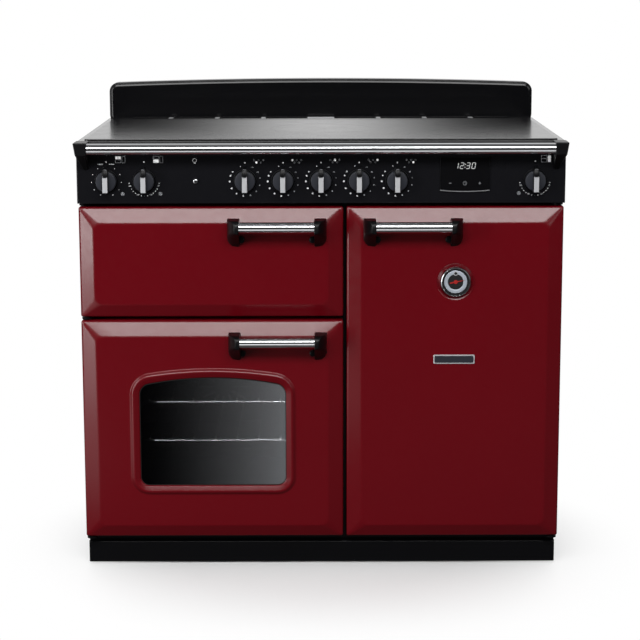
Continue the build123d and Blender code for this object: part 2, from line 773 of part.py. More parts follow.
# Grill pan on the floor of the grill cavity, with a wire trivet inside
pan_x = (left_open[0] + pan_side_gap, left_open[1] - pan_side_gap)
pan_y = (frame_rear + pan_front_gap, frame_rear + pan_front_gap + pan_depth)
pan_z = (grill_open[0], grill_open[0] + pan_height)
pan = tray_slab(pan_x[0] + pan_lip, pan_x[1] - pan_lip, pan_y[0] + pan_lip, pan_y[1] - pan_lip, *pan_z,
                cavity_radius)
pan = pan + tray_slab(*pan_x, *pan_y, pan_z[1] - pan_sheet, pan_z[1], cavity_radius + pan_lip)
pan_in = pan_lip + pan_sheet
well = (pan_x[0] + pan_in, pan_x[1] - pan_in, pan_y[0] + pan_in, pan_y[1] - pan_in)
pan = pan - tray_slab(*well, pan_z[0] + pan_sheet, pan_z[1] + over, cavity_radius - pan_sheet)
trivet_z = pan_z[1] - trivet_drop
grid = None
for y in (well[2] + pan_lip, well[3] - pan_lip - trivet_wire):
    bar = block(well[0] + cavity_radius, well[1] - cavity_radius, y, y + trivet_wire,
                pan_z[0] + pan_sheet, trivet_z)
    grid = bar if grid is None else grid + bar
cross_span = well[1] - well[0] - 2 * cavity_radius
cross_count = int(cross_span // trivet_pitch)
for i in range(cross_count):
    x = (well[0] + well[1]) / 2 + (i - (cross_count - 1) / 2) * trivet_pitch
    grid = grid + block(x - trivet_wire / 2, x + trivet_wire / 2, well[2] + pan_lip, well[3] - pan_lip,
                        trivet_z, trivet_z + trivet_wire)
save("grill_pan", pan, grid)

# Oven lamp: a domed lens on the rear wall of the main oven
lamp_x = left_open[1] - lamp_inset_side
lamp_z = oven_open[1] - lamp_inset_top
dome_r = (lamp_radius ** 2 + lamp_dome ** 2) / (2 * lamp_dome)
dome_top = cavity_wall - lamp_dome
dome_turn = math.asin(lamp_radius / dome_r) / 2
dome_mid = (dome_r * math.sin(dome_turn), dome_top + dome_r * (1 - math.cos(dome_turn)))
lens = make_face([Line((0, cavity_wall), (0, dome_top)),
                  ThreePointArc((0, dome_top), dome_mid, (lamp_radius, cavity_wall)),
                  Line((lamp_radius, cavity_wall), (0, cavity_wall))])
save("oven_lamp", Pos(lamp_x, 0, lamp_z) * revolve(lens, Axis.Y))

# Hinge brackets in the gaps above, between and below the doors
gap = door_row_gap / 2
hinges = ((left_hinge_x, door_z0 - gap, (1,)), (left_hinge_x, oven_z1 + gap, (1, -1)),
          (left_hinge_x, grill_z1 + gap, (-1,)), (tall_hinge_x, door_z0 - gap, (1,)),
          (tall_hinge_x, grill_z1 + gap, (-1,)))
save("hinge_brackets", *[hinge_bracket(*place) for place in hinges])

# Grill door
save("grill_door_skin", door_skin(left_x0, left_x1, grill_z0, grill_z1, left_hinge_x))
save("grill_door_liner", door_liner(left_x0, left_x1, grill_z0, grill_z1))
handle("grill", left_x1 - handle_edge_offset - handle_length, grill_z1)

# Main oven door with its arched window, raised bead and two panes
skin = door_skin(left_x0, left_x1, door_z0, oven_z1, left_hinge_x)
bead = extrude(window_face(window_bead_width, door_face), window_bead_height)
bead = chamfer(bead.faces().sort_by(Axis.Y)[0].edges(), window_bead_height - window_bead_land,
               (window_bead_width - window_bead_flat) / 2)
skin = skin + bead - extrude(window_face(0, door_face + sheet + over), sheet + window_bead_height + 2 * over)
save("oven_door_skin", skin)
pane_y = door_face + sheet
save("oven_door_glass", extrude(window_face(window_lap, pane_y + window_glass), window_glass))
liner = door_liner(left_x0, left_x1, door_z0, oven_z1)
inner_view = (left_x0 + bevel_side + inner_glass_margin, left_x1 - bevel_side - inner_glass_margin,
              door_z0 + bevel_bottom + inner_glass_margin, oven_z1 - bevel_top - inner_glass_margin)
liner = liner - slab(*inner_view, window_corner_radius, door_back - 3 * sheet, door_back + over)
save("oven_door_liner", liner)
pane_rear = door_back - 2 * sheet
pane = slab(inner_view[0] - window_lap, inner_view[1] + window_lap, inner_view[2] - window_lap,
            inner_view[3] + window_lap, window_corner_radius + window_lap, pane_rear - window_glass,
            pane_rear)
save("oven_inner_glass", pane)
handle("oven", left_x1 - handle_edge_offset - handle_length, oven_z1)

# Tall door with its dial thermometer
gauge_x = tall_x1 - gauge_from_edge
gauge_z = grill_z1 - gauge_drop
dish_y = door_face + gauge_dish_depth
skin = door_skin(tall_x0, tall_x1, door_z0, grill_z1, tall_hinge_x)
cup = Pos(gauge_x, 0, gauge_z) * revolve(make_face(Polyline(
    (0, door_face - over), (gauge_dish_radius + over, door_face - over), (gauge_radius + over, dish_y),
    (0, dish_y), close=True)),
    Axis.Y)
cup_back = Pos(gauge_x, 0, gauge_z) * revolve(make_face(Polyline(
    (0, door_face + sheet), (gauge_dish_radius + sheet, door_face + sheet),
    (gauge_radius + sheet, dish_y + sheet), (0, dish_y + sheet), close=True)), Axis.Y)
skin = skin + cup_back - cup
skin = skin - rod_y(gauge_x, door_face - over, dish_y + sheet + over, gauge_z, gauge_stem_radius)
save("tall_door_skin", skin)
liner = door_liner(tall_x0, tall_x1, door_z0, grill_z1)
liner = liner - rod_y(gauge_x, door_back - 3 * sheet, door_back + over, gauge_z, gauge_stem_radius)
save("tall_door_liner", liner)
handle("tall", tall_x0 + handle_edge_offset, grill_z1)

gauge_y0 = dish_y - gauge_front - gauge_dish_depth
dial_y = gauge_y0 + gauge_dial_depth
gauge_seat = gauge_y0 + gauge_glass_inset + gauge_glass_thickness
pin_end = dial_y - needle_lift - needle_thickness - needle_pin_end
case = Pos(gauge_x, 0, gauge_z) * revolve(make_face(Polyline(
    (0, dish_y), (gauge_radius, dish_y), (gauge_radius, gauge_y0 + gauge_bezel_slope),
    (gauge_radius - gauge_bezel_slope, gauge_y0),
    (gauge_glass_radius, gauge_y0), (gauge_glass_radius, gauge_seat),
    (gauge_ring_outer + gauge_ring_margin, gauge_seat), (gauge_ring_outer + gauge_ring_margin, dial_y),
    (gauge_ring_outer, dial_y), (gauge_ring_outer, dial_y - gauge_ring_height),
    (gauge_ring_inner, dial_y - gauge_ring_height), (gauge_ring_inner, dial_y), (needle_pin_radius, dial_y),
    (needle_pin_radius, pin_end), (0, pin_end),
    close=True)), Axis.Y)
case = case + rod_y(gauge_x, dish_y, door_back + gauge_stem_reach, gauge_z, gauge_stem_radius)
save("gauge_housing", case)
save("gauge_glass", rod_y(gauge_x, gauge_y0 + gauge_glass_inset, gauge_seat, gauge_z, gauge_glass_radius))
needle_y = dial_y - needle_lift
hand = make_face(Polyline((-needle_tail, -needle_width / 2), (0, -needle_width / 2), (needle_length, 0),
                          (0, needle_width / 2), (-needle_tail, needle_width / 2), close=True))
hand = hand + Circle(needle_hub_radius) - Circle(needle_pin_radius + pin_clearance)
hand = facing(needle_y) * Pos(gauge_x, gauge_z) * Rot(0, 0, needle_angle) * hand
save("gauge_needle", extrude(hand, needle_thickness))

# Control panel with its switches, knobs, light button and clock
knob_z = panel_z0 + knob_rise
knobs = [("knob_grill", -half + left_knob_offset),
         ("knob_main_oven", -half + left_knob_offset + left_knob_pitch)]
for i in range(hob_knob_count):
    knobs.append(("knob_hob_%d" % (i + 1), (i - (hob_knob_count - 1) / 2) * hob_knob_pitch))
knobs.append(("knob_tall_oven", half - right_knob_offset))
button_x = -half + button_offset
clock_x = half - clock_offset
clock_z0 = panel_z0 + clock_rise
clock_box = (clock_x - clock_width / 2, clock_x + clock_width / 2, clock_z0, clock_z0 + clock_height)
panel = block(-half, half, door_face, frame_face, panel_z0, panel_z1)
panel = panel - block(-half + sheet, half - sheet, door_face + sheet, frame_face + over, panel_z0 + sheet,
                      panel_z1 + over)
switches = []
for name, x in knobs:
    panel = panel - rod_y(x, door_face - over, door_face + sheet + over, knob_z,
                          spindle_radius + run_clearance)
    body, insert = knob_body(x, knob_z)
    save(name, body, insert)
    switches.append(spindle_switch(x, knob_z))
panel = panel - rod_y(button_x, door_face - over, door_face + sheet + over, knob_z,
                      button_radius + run_clearance)
panel = panel - block(clock_box[0] + clock_margin, clock_box[1] - clock_margin, door_face - over,
                      door_face + sheet + over, clock_box[2] + clock_margin, clock_box[3] - clock_margin)
save("control_panel", panel)

press_y = door_face + sheet + button_travel + 2 * run_clearance
plunger_end = press_y + switch_depth / 2
cap = rod_y(button_x, door_face - button_front, door_face + sheet, knob_z, button_radius)
cap = cap + rod_y(button_x, door_face + sheet, plunger_end, knob_z, plunger_radius)
save("light_button", chamfer(cap.edges().sort_by(Axis.Y)[0], button_chamfer))
body = block(button_x - switch_size / 2, button_x + switch_size / 2, door_face + sheet,
             plunger_end + switch_depth / 2, knob_z - switch_size / 2, knob_z + switch_size / 2)
body = body - rod_y(button_x, door_face, press_y, knob_z, button_radius + run_clearance)
body = body - rod_y(button_x, door_face, plunger_end + button_travel + over, knob_z,
                    plunger_radius + pin_clearance)
switches.append(body)
save("control_switches", *switches)

clock_face = make_face([Line((clock_box[0], clock_box[3]), (clock_box[0], clock_box[2])),
                        ThreePointArc((clock_box[0], clock_box[2]), (clock_x, clock_box[2] - clock_sag),
                                      (clock_box[1], clock_box[2])),
                        Line((clock_box[1], clock_box[2]), (clock_box[1], clock_box[3])),
                        Line((clock_box[1], clock_box[3]), (clock_box[0], clock_box[3]))])
clock = extrude(facing(door_face) * clock_face, clock_front)
clock = clock + block(clock_box[0] + clock_margin + clock_fit, clock_box[1] - clock_margin - clock_fit,
                      door_face, door_face + clock_body_depth, clock_box[2] + clock_margin + clock_fit,
                      clock_box[3] - clock_margin - clock_fit)
strip_low = clock_box[2] - clock_strip
strip = make_face([Line((clock_box[0], clock_box[2]), (clock_box[0], strip_low)),
                   ThreePointArc((clock_box[0], strip_low), (clock_x, strip_low - clock_sag),
                                 (clock_box[1], strip_low)),
                   Line((clock_box[1], strip_low), (clock_box[1], clock_box[2])),
                   ThreePointArc((clock_box[1], clock_box[2]), (clock_x, clock_box[2] - clock_sag),
                                 (clock_box[0], clock_box[2]))])
save("clock_module", clock, extrude(facing(door_face) * strip, clock_front + clock_strip_proud))

# Towel rail
rail_z = hob_z - rail_drop
rail_x = half - front_edge_inset - rail_end_width
save("towel_rail", rod_x(-rail_x, rail_x, bar_y, rail_z, rail_radius))
save("towel_rail_ends", rail_end(-1), rail_end(1))

# Hob: tray, glass, coils, vent trim and rear upstand
vent_y1 = y_rear - upstand_depth
vent_y0 = vent_y1 - vent_depth
glass_y = (door_face + glass_inset, vent_y0 - vent_gap)
tray = block(-half, half, door_face, y_rear, panel_z1, glass_z0)
tray = tray - block(-half + sheet, half - sheet, door_face + sheet, y_rear - sheet, panel_z1 + sheet,
                    glass_z0 - sheet)
tray = tray - tray_slab(-half + tray_lip, half - tray_lip, door_face + tray_lip, vent_y0 - tray_lip / 2,
                        glass_z0 - sheet - over, glass_z0 + over, glass_corner_radius)
slot_y = ((vent_y0 + vent_y1) / 2 - vent_slot_depth / 2, (vent_y0 + vent_y1) / 2 + vent_slot_depth / 2)
tray = tray - block(-half + vent_end_margin, half - vent_end_margin, *slot_y, glass_z0 - sheet - over,
                    glass_z0 + over)
save("hob_tray", tray)
glass_x = half - glass_inset
save("hob_glass", tray_slab(-glass_x, glass_x, *glass_y, glass_z0, hob_z, glass_corner_radius))

coil_mid = (glass_y[0] + glass_y[1]) / 2
spots = ((-coil_spread, coil_mid + coil_row), (-coil_spread, coil_mid - coil_row), (0, coil_mid),
         (coil_spread, coil_mid + coil_row), (coil_spread, coil_mid - coil_row))
coils = []
for radius, (x, y) in zip(coil_radii, spots):
    top = glass_z0 - sheet - coil_gap
    coil = rod_z(x, y, top - coil_thickness, top, radius)
    coils.append(coil + rod_z(x, y, panel_z1 + sheet, top - coil_thickness, coil_hub_radius))
save("induction_coils", *coils)

# Vent trim: two long rails, and between them the end blocks and ribs that part the slots
trim = [block(-glass_x, glass_x, y0, y1, glass_z0, hob_z)
        for y0, y1 in ((vent_y0, slot_y[0]), (slot_y[1], vent_y1))]
spans = [(-vent_centre_width / 2, vent_centre_width / 2)]
for side in (-1, 1):
    spans.append(sorted((side * (half - vent_end_margin), side * glass_x)))
    for i in range(vent_rib_count):
        rib = side * (vent_first_rib + i * vent_rib_pitch)
        spans.append((rib - vent_rib_width / 2, rib + vent_rib_width / 2))
trim += [block(x0, x1, *slot_y, glass_z0, hob_z) for x0, x1 in spans]
save("vent_trim", *trim)


def upstand_face(inset, y):
    """Rear upstand seen from the front, with a gently arched top and rounded upper corners."""
    x, z0 = side_x - inset, glass_z0 - inset
    end, crown = hob_z + upstand_end_height - inset, hob_z + upstand_end_height + upstand_crown_rise - inset
    face = make_face([Line((-x, end), (-x, z0)), Line((-x, z0), (x, z0)), Line((x, z0), (x, end)),
                      ThreePointArc((x, end), (0, crown), (-x, end))])
    upper = face.vertices().group_by(Axis.Y)[-1]
    return facing(y) * fillet(upper, upstand_corner_radius - inset)


upstand = extrude(upstand_face(0, y_rear), upstand_depth)
upstand = upstand - extrude(upstand_face(sheet, y_rear - sheet), upstand_depth - 2 * sheet)
save("rear_upstand", upstand)
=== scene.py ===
import math
import bmesh
import bpy
from mathutils import Matrix, Vector


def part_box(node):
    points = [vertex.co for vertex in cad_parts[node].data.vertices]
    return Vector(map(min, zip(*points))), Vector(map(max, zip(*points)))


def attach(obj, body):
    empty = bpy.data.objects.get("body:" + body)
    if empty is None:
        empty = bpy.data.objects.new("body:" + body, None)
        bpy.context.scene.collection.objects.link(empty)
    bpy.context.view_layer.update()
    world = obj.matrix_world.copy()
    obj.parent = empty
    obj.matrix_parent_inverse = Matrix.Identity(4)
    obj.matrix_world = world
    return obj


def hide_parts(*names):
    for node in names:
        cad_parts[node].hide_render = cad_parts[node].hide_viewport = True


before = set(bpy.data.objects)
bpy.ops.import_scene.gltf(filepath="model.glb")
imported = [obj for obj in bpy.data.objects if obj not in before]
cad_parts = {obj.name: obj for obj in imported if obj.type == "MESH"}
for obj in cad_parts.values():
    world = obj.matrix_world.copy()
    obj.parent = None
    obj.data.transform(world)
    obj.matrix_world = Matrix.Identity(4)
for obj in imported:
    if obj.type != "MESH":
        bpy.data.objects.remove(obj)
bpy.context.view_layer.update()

bl_info = {
    "name": "Induction Range Cooker",
    "version": (1, 0, 0),
    "blender": (4, 5, 0),
    "location": "View3D > Sidebar > Cooker",
    "description": "Dresses the cooker's frame with enamel, glass, chrome and printed marks",
    "category": "Object",
}

MM = 0.001
BODY = "carcass"
DOORS = ("grill", "oven", "tall")
KNOB_NODES = [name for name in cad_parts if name.startswith("knob_")]


def linear(code):
    """sRGB hex to linear RGBA."""
    values = [int(code[i:i + 2], 16) / 255 for i in (1, 3, 5)]
    return [v / 12.92 if v <= 0.04045 else ((v + 0.055) / 1.055) ** 2.4 for v in values] + [1.0]


def lo_hi(node_name):
    """Lowest and highest corner of a frame node."""
    low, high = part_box(node_name)
    return Vector(low), Vector(high)


def middle_of(node_name):
    """Middle of a frame node's box."""
    low, high = lo_hi(node_name)
    return (low + high) / 2


# Reference planes, taken from the frame
FACE = lo_hi("grill_door_skin")[0].y
DOOR_BACK = lo_hi("grill_door_skin")[1].y
REACH = lo_hi("grill_handle_bar")[0].y
HOB_TOP = lo_hi("hob_glass")[1].z
# Printed marks lie just proud of the control panel
INK = FACE - 0.12 * MM
INKS = ["ink", "ink_pale", "ink_white"]
PALE, WHITE = 1, 2
# Oven racks: wall of a cavity, lowest level above its foot, step between levels and radius of the rods
CAVITY_WALL = 14 * MM
SHELF_FOOT = CAVITY_WALL + 57 * MM
SHELF_PITCH = 83.5 * MM
ROD = 2.5 * MM
WINDOW_CORNER = 18 * MM
CLOCK_TIME = "1230"


def colour_setting(name, description, code):
    """Colour that a user may change."""
    return bpy.props.FloatVectorProperty(name=name, description=description, subtype="COLOR", size=4,
                                         default=linear(code), min=0, max=1)


def length_setting(name, description, size):
    """Length that a user may change, given in millimetres."""
    return bpy.props.FloatProperty(name=name, description=description, unit="LENGTH", default=size * MM)


class CookerFinish(bpy.types.PropertyGroup):
    """Colours of the cooker's finishes."""

    door: colour_setting("Door enamel", "Colour of the three doors", "#60030E")
    black: colour_setting("Black enamel", "Colour of the plinth, upstand, hob rim and front frame", "#09090B")
    print_ink: colour_setting("Print", "Colour of the dots and signs on the panel", "#B9BABC")
    knob_disc: colour_setting("Knob disc", "Colour of the discs behind the knob grips", "#282A31")


class CookerSizes(bpy.types.PropertyGroup):
    """Sizes of the dressed pieces that a user may change."""

    bevel_side: length_setting("Side border", "Width of the sloping border at a door's sides", 31)
    bevel_top: length_setting("Top border", "Width of the sloping border at a door's top", 33)
    bevel_bottom: length_setting("Bottom border", "Width of the sloping border at a door's bottom", 27)
    bevel_depth: length_setting("Border depth", "How far the borders slope back", 13)
    panel_radius: length_setting("Panel corner", "Corner radius of the raised middle panel", 16)
    bead_width: length_setting("Bead width", "Width of the raised bead round the window", 20)
    bead_height: length_setting("Bead height", "How far the bead stands proud", 4.8)
    window_width: length_setting("Window width", "Width of the window opening", 303)
    window_foot: length_setting("Window foot", "Height of the window's sill above the door's foot", 114)
    window_side: length_setting("Window side", "Height of the window at its sides", 213)
    window_rise: length_setting("Window rise", "Rise of the window's arch", 17)
    dot: length_setting("Largest dot", "Radius of the largest printed dot", 1.95)
    dot_ring: length_setting("Dot ring", "Radius of the ring of dots round a knob", 31)


# Materials

SMOOTH = {"interpolation_type": "SMOOTHSTEP"}


def node(tree, kind, inputs=None, **settings):
    """Add one node: settings go on the node, inputs are values or sockets to link."""
    new = tree.nodes.new(kind)
    for key, value in settings.items():
        setattr(new, key, value)
    for key, value in (inputs or {}).items():
        if isinstance(value, bpy.types.NodeSocket):
            tree.links.new(value, new.inputs[key])
        else:
            new.inputs[key].default_value = value
    return new


def per_mm(size):
    """Pattern scale for features of this size in millimetres."""
    return 1000.0 / size


def blank(name):
    """New node material with an empty tree."""
    made = bpy.data.materials.new(name)
    made.use_nodes = True
    made.node_tree.nodes.clear()
    return made, made.node_tree


def darker(colour, share):
    """The same colour with its light scaled."""
    return [min(1.0, c * share) for c in colour[:3]] + [1.0]


def surface(name, colour, rough, metallic=0.0, mottle=(40, 0.1), grain=(6, 0.05), stretch=(1, 1, 1),
            rough_spread=0.04, **fixed):
    """Solid surface: mottle is (size mm, share of colour), grain is (size mm, depth mm)."""
    made, tree = blank(name)
    where = node(tree, "ShaderNodeTexCoord")
    drawn = node(tree, "ShaderNodeMapping", {"Vector": where.outputs["Object"], "Scale": stretch})
    cloud = node(tree, "ShaderNodeTexNoise", {"Vector": drawn.outputs["Vector"], "Scale": per_mm(mottle[0]),
                                              "Detail": 4.0})
    tint = node(tree, "ShaderNodeMix", {"Factor": cloud.outputs["Fac"], "A": darker(colour, 1 - mottle[1]),
                                        "B": darker(colour, 1 + mottle[1])}, data_type="RGBA")
    fine = node(tree, "ShaderNodeTexNoise", {"Vector": drawn.outputs["Vector"], "Scale": per_mm(grain[0]),
                                             "Detail": 2.0})
    shine = node(tree, "ShaderNodeMapRange", {"Value": fine.outputs["Fac"], "From Min": 0.3, "From Max": 0.7,
                                              "To Min": max(0.0, rough - rough_spread),
                                              "To Max": rough + rough_spread})
    bump = node(tree, "ShaderNodeBump", {"Height": fine.outputs["Fac"], "Strength": 1.0,
                                         "Distance": grain[1] * MM})
    shader = node(tree, "ShaderNodeBsdfPrincipled", {"Base Color": tint.outputs["Result"],
                                                     "Roughness": shine.outputs["Result"],
                                                     "Normal": bump.outputs["Normal"], "Metallic": metallic})
    for key, value in fixed.items():
        shader.inputs[key.replace("_", " ")].default_value = value
    node(tree, "ShaderNodeOutputMaterial", {"Surface": shader.outputs["BSDF"]})
    return made


def speckled(name, colour, fleck, size, rough):
    """Enamel with fine flecks fired into it."""
    made, tree = blank(name)
    where = node(tree, "ShaderNodeTexCoord")
    cells = node(tree, "ShaderNodeTexVoronoi", {"Vector": where.outputs["Object"], "Scale": per_mm(size)})
    mask = node(tree, "ShaderNodeMapRange", {"Value": cells.outputs["Distance"], "From Min": 0.12,
                                             "From Max": 0.2, "To Min": 1.0, "To Max": 0.0})
    tint = node(tree, "ShaderNodeMix", {"Factor": mask.outputs["Result"], "A": colour, "B": fleck},
                data_type="RGBA")
    peel = node(tree, "ShaderNodeTexNoise", {"Vector": where.outputs["Object"], "Scale": per_mm(9)})
    bump = node(tree, "ShaderNodeBump", {"Height": peel.outputs["Fac"], "Strength": 1.0,
                                         "Distance": 0.08 * MM})
    shader = node(tree, "ShaderNodeBsdfPrincipled", {"Base Color": tint.outputs["Result"], "Roughness": rough,
                                                     "Normal": bump.outputs["Normal"]})
    node(tree, "ShaderNodeOutputMaterial", {"Surface": shader.outputs["BSDF"]})
    return made


def spangled(name, colour, size, rough):
    """Hot-dip zinc, whose crystals each turn the light a little differently."""
    made, tree = blank(name)
    where = node(tree, "ShaderNodeTexCoord")
    warp = node(tree, "ShaderNodeTexNoise", {"Vector": where.outputs["Object"], "Scale": per_mm(30)})
    shift = node(tree, "ShaderNodeMix", {"Factor": 0.02, "A": where.outputs["Object"],
                                         "B": warp.outputs["Color"]}, data_type="VECTOR")
    cells = node(tree, "ShaderNodeTexVoronoi", {"Vector": shift.outputs["Result"], "Scale": per_mm(size)})
    tone = node(tree, "ShaderNodeSeparateColor", {"Color": cells.outputs["Color"]})
    tint = node(tree, "ShaderNodeMix", {"Factor": tone.outputs["Red"], "A": darker(colour, 0.78),
                                        "B": darker(colour, 1.12)}, data_type="RGBA")
    shine = node(tree, "ShaderNodeMapRange", {"Value": tone.outputs["Green"], "To Min": rough - 0.08,
                                              "To Max": rough + 0.08})
    shader = node(tree, "ShaderNodeBsdfPrincipled", {"Base Color": tint.outputs["Result"], "Metallic": 1.0,
                                                     "Roughness": shine.outputs["Result"]})
    node(tree, "ShaderNodeOutputMaterial", {"Surface": shader.outputs["BSDF"]})
    return made


def wiped(tree, where, rough):
    """Gloss of a glass that changes a little from wipe mark to wipe mark."""
    smear = node(tree, "ShaderNodeTexNoise", {"Vector": where.outputs["Object"], "Scale": per_mm(60),
                                              "Detail": 5.0})
    return node(tree, "ShaderNodeMapRange", {"Value": smear.outputs["Fac"], "To Min": rough * 0.6,
                                             "To Max": rough * 1.6})


def pane(name, colour, alpha, rough):
    """Tinted flat glass."""
    made, tree = blank(name)
    where = node(tree, "ShaderNodeTexCoord")
    shine = wiped(tree, where, rough)
    shader = node(tree, "ShaderNodeBsdfPrincipled", {"Base Color": colour,
                                                     "Roughness": shine.outputs["Result"], "IOR": 1.52,
                                                     "Alpha": alpha})
    node(tree, "ShaderNodeOutputMaterial", {"Surface": shader.outputs["BSDF"]})
    return made


def graded_mirror_pane(name, dark, bright, alpha, rough):
    """Dark glass whose mirror strength is graded from its left edge to its right edge, a painted reflection
    gradient.
    """
    made, tree = blank(name)
    low, high = lo_hi("oven_door_glass")
    where = node(tree, "ShaderNodeTexCoord")
    axes = node(tree, "ShaderNodeSeparateXYZ", {"Vector": where.outputs["Object"]})
    across = node(tree, "ShaderNodeMapRange", {"Value": axes.outputs["X"], "From Min": low.x,
                                               "From Max": high.x})
    # The painted reflection stays faint over the first half, then strengthens quickly
    reflection_gradient = node(tree, "ShaderNodeMath", {0: across.outputs["Result"], 1: 2.5}, operation="POWER")
    tint = node(tree, "ShaderNodeMix", {"Factor": reflection_gradient.outputs["Value"], "A": dark, "B": bright},
                data_type="RGBA")
    shine = wiped(tree, where, rough)
    shader = node(tree, "ShaderNodeBsdfPrincipled", {"Base Color": tint.outputs["Result"], "Metallic": 0.9,
                                                     "Roughness": shine.outputs["Result"], "Alpha": alpha})
    node(tree, "ShaderNodeOutputMaterial", {"Surface": shader.outputs["BSDF"]})
    return made


def lit(name, colour, strength):
    """Lit segments of a display, slightly uneven as behind a filter."""
    made, tree = blank(name)
    where = node(tree, "ShaderNodeTexCoord")
    cloud = node(tree, "ShaderNodeTexNoise", {"Vector": where.outputs["Object"], "Scale": per_mm(4)})
    tint = node(tree, "ShaderNodeMix", {"Factor": cloud.outputs["Fac"], "A": darker(colour, 0.85),
                                        "B": colour}, data_type="RGBA")
    shader = node(tree, "ShaderNodeBsdfPrincipled", {"Base Color": darker(colour, 0.3), "Roughness": 0.4,
                                                     "Emission Color": tint.outputs["Result"],
                                                     "Emission Strength": strength})
    node(tree, "ShaderNodeOutputMaterial", {"Surface": shader.outputs["BSDF"]})
    return made


FINISHES = {}


def finishes():
    """Make the cooker's materials once, and give them by name.

    Grains finer than about 1 mm in reality are drawn at 0.8 to 2.2 mm, as coarse as they need to show.
    """
    if FINISHES:
        return FINISHES
    colours = bpy.context.scene.cooker_finish
    door, black = list(colours.door), list(colours.black)
    made = FINISHES
    # Vitreous enamel fired on pressed steel: deep glossy glass with a faint orange peel
    made["enamel_red"] = surface("vitreous enamel, red", door, 0.22, mottle=(120, 0.05), grain=(14, 0.005),
                                 rough_spread=0.02, Specular_IOR_Level=0.42)
    # The same enamel in black: darker mirror, so the room shows only faintly
    made["enamel_black"] = surface("vitreous enamel, black", black, 0.16, mottle=(120, 0.15),
                                   grain=(14, 0.005), rough_spread=0.02, Specular_IOR_Level=0.25)
    # Enamel of the control panel: the black enamel with a greyer base colour, a painted sheen for its faint
    # reflection, and a little softer
    made["enamel_panel"] = surface("vitreous enamel, black with painted sheen", linear("#121215"), 0.2, mottle=(120, 0.15),
                                   grain=(14, 0.005), rough_spread=0.02, Specular_IOR_Level=0.25)
    # Ground-coat enamel in the ovens: near black with pale flecks, drawn coarser than real so that they show
    made["enamel_oven"] = speckled("ground coat enamel, flecked", linear("#2C2D31"), linear("#4A4C52"),
                                   size=5, rough=0.35)
    # Powder coat on the side panels: even satin with a fine pebble
    made["powder_coat"] = surface("powder coat, black", linear("#131315"), 0.38, mottle=(60, 0.12),
                                  grain=(2.2, 0.05), Specular_IOR_Level=0.4)
    # Moulded ABS with a fine spark texture: flat satin that takes hardly any light
    made["abs_black"] = surface("ABS, satin black", linear("#0A0A0B"), 0.42, mottle=(18, 0.15),
                                grain=(1.6, 0.01), rough_spread=0.06, Specular_IOR_Level=0.07)
    # ABS from a polished mould: a soft light along the rounded top, deep black below
    made["abs_ends"] = surface("ABS, polished mould, black", linear("#08080A"), 0.36, mottle=(18, 0.12),
                               grain=(1.6, 0.006), rough_spread=0.04, Specular_IOR_Level=0.2)
    # Gloss ABS of knobs and clock: black with soft, narrow lights on its edges
    made["abs_gloss"] = surface("ABS, gloss black", linear("#08080A"), 0.3, mottle=(30, 0.15),
                                grain=(8, 0.004), rough_spread=0.02, Specular_IOR_Level=0.14)
    # Painted ABS disc of a knob: even dark grey against the black skirt
    made["knob_disc"] = surface("ABS, dark grey paint", list(colours.knob_disc), 0.36, mottle=(10, 0.08),
                                grain=(1.2, 0.02))
    # Chrome plate on polished tube: clean mirror with the faintest drawn lines along it
    made["chrome"] = surface("chrome plate, polished tube", linear("#D2D3D6"), 0.13, 1.0, mottle=(50, 0.03),
                             grain=(5, 0.0002), stretch=(0.1, 1, 1), rough_spread=0.02)
    # Chrome plate on a turned bezel: sharp mirror, a shade darker than the tube
    made["chrome_turned"] = surface("chrome plate, turned bezel", linear("#A9AAAD"), 0.12, 1.0,
                                    mottle=(20, 0.03), grain=(3, 0.003), rough_spread=0.03)
    # Fine-brushed steel: pale and silky along the grip, its lines drawn coarser than real so that they show
    made["steel_insert"] = surface("stainless steel, fine brushed", linear("#C9CACD"), 0.45, 0.5,
                                   mottle=(9, 0.03), grain=(0.9, 0.001), stretch=(1, 1, 0.05),
                                   rough_spread=0.06)
    # Anodised aluminium: pale, cool and matt, as a dial's ring is
    made["anodised"] = surface("anodised aluminium ring", linear("#C3CBD6"), 0.4, 0.25, mottle=(14, 0.03),
                               grain=(0.8, 0.004), rough_spread=0.06)
    # Bead-blasted steel: even mid grey without a clear mirror
    made["steel_blasted"] = surface("stainless steel, bead blasted", linear("#8E8F91"), 0.5, 0.4,
                                    mottle=(8, 0.05), grain=(0.8, 0.01))
    # Glass ceramic, rolled: deep black, smooth, with a broad soft mirror
    made["glass_ceramic"] = surface("glass ceramic, black", linear("#060607"), 0.2, mottle=(200, 0.2),
                                    grain=(40, 0.0005), rough_spread=0.01)
    # Matt paint of a dial: black that stays dark under its glass; on the bezel's inner wall it is a painted
    # dark reflection in place of chrome
    made["dial_black_and_reflection"] = surface("matt black paint, dial and painted reflection", linear("#0A0A0B"), 0.5, mottle=(6, 0.12),
                                 grain=(0.8, 0.01))
    # Screen-printed ink: thin and slightly uneven, in a main tone, a full white and a faint grey
    made["ink"] = surface("screen print ink, white", list(colours.print_ink), 0.5, mottle=(3, 0.06),
                          grain=(0.8, 0.01))
    made["ink_white"] = surface("screen print ink, bright white", linear("#FFFFFF"), 0.5, mottle=(3, 0.02),
                                grain=(0.8, 0.01))
    made["ink_pale"] = surface("screen print ink, grey", linear("#7E8084"), 0.5, mottle=(3, 0.06),
                               grain=(0.8, 0.01))
    # Ceramic print fired into the hob's glass: as smooth as the glass, and hardly lighter
    made["ink_grey"] = surface("ceramic print, grey", linear("#343538"), 0.2, mottle=(8, 0.1),
                               grain=(40, 0.0005), rough_spread=0.01)
    # Painted needle: a clear red, half matt
    made["needle_red"] = surface("painted steel needle, red", linear("#B3211B"), 0.4, mottle=(4, 0.06),
                                 grain=(0.8, 0.01))
    # Chromed oven wire: bright, a little dulled by heat
    made["wire"] = surface("chromed oven wire", linear("#8E8F92"), 0.2, 0.9, mottle=(25, 0.05),
                           grain=(4, 0.0002), rough_spread=0.05)
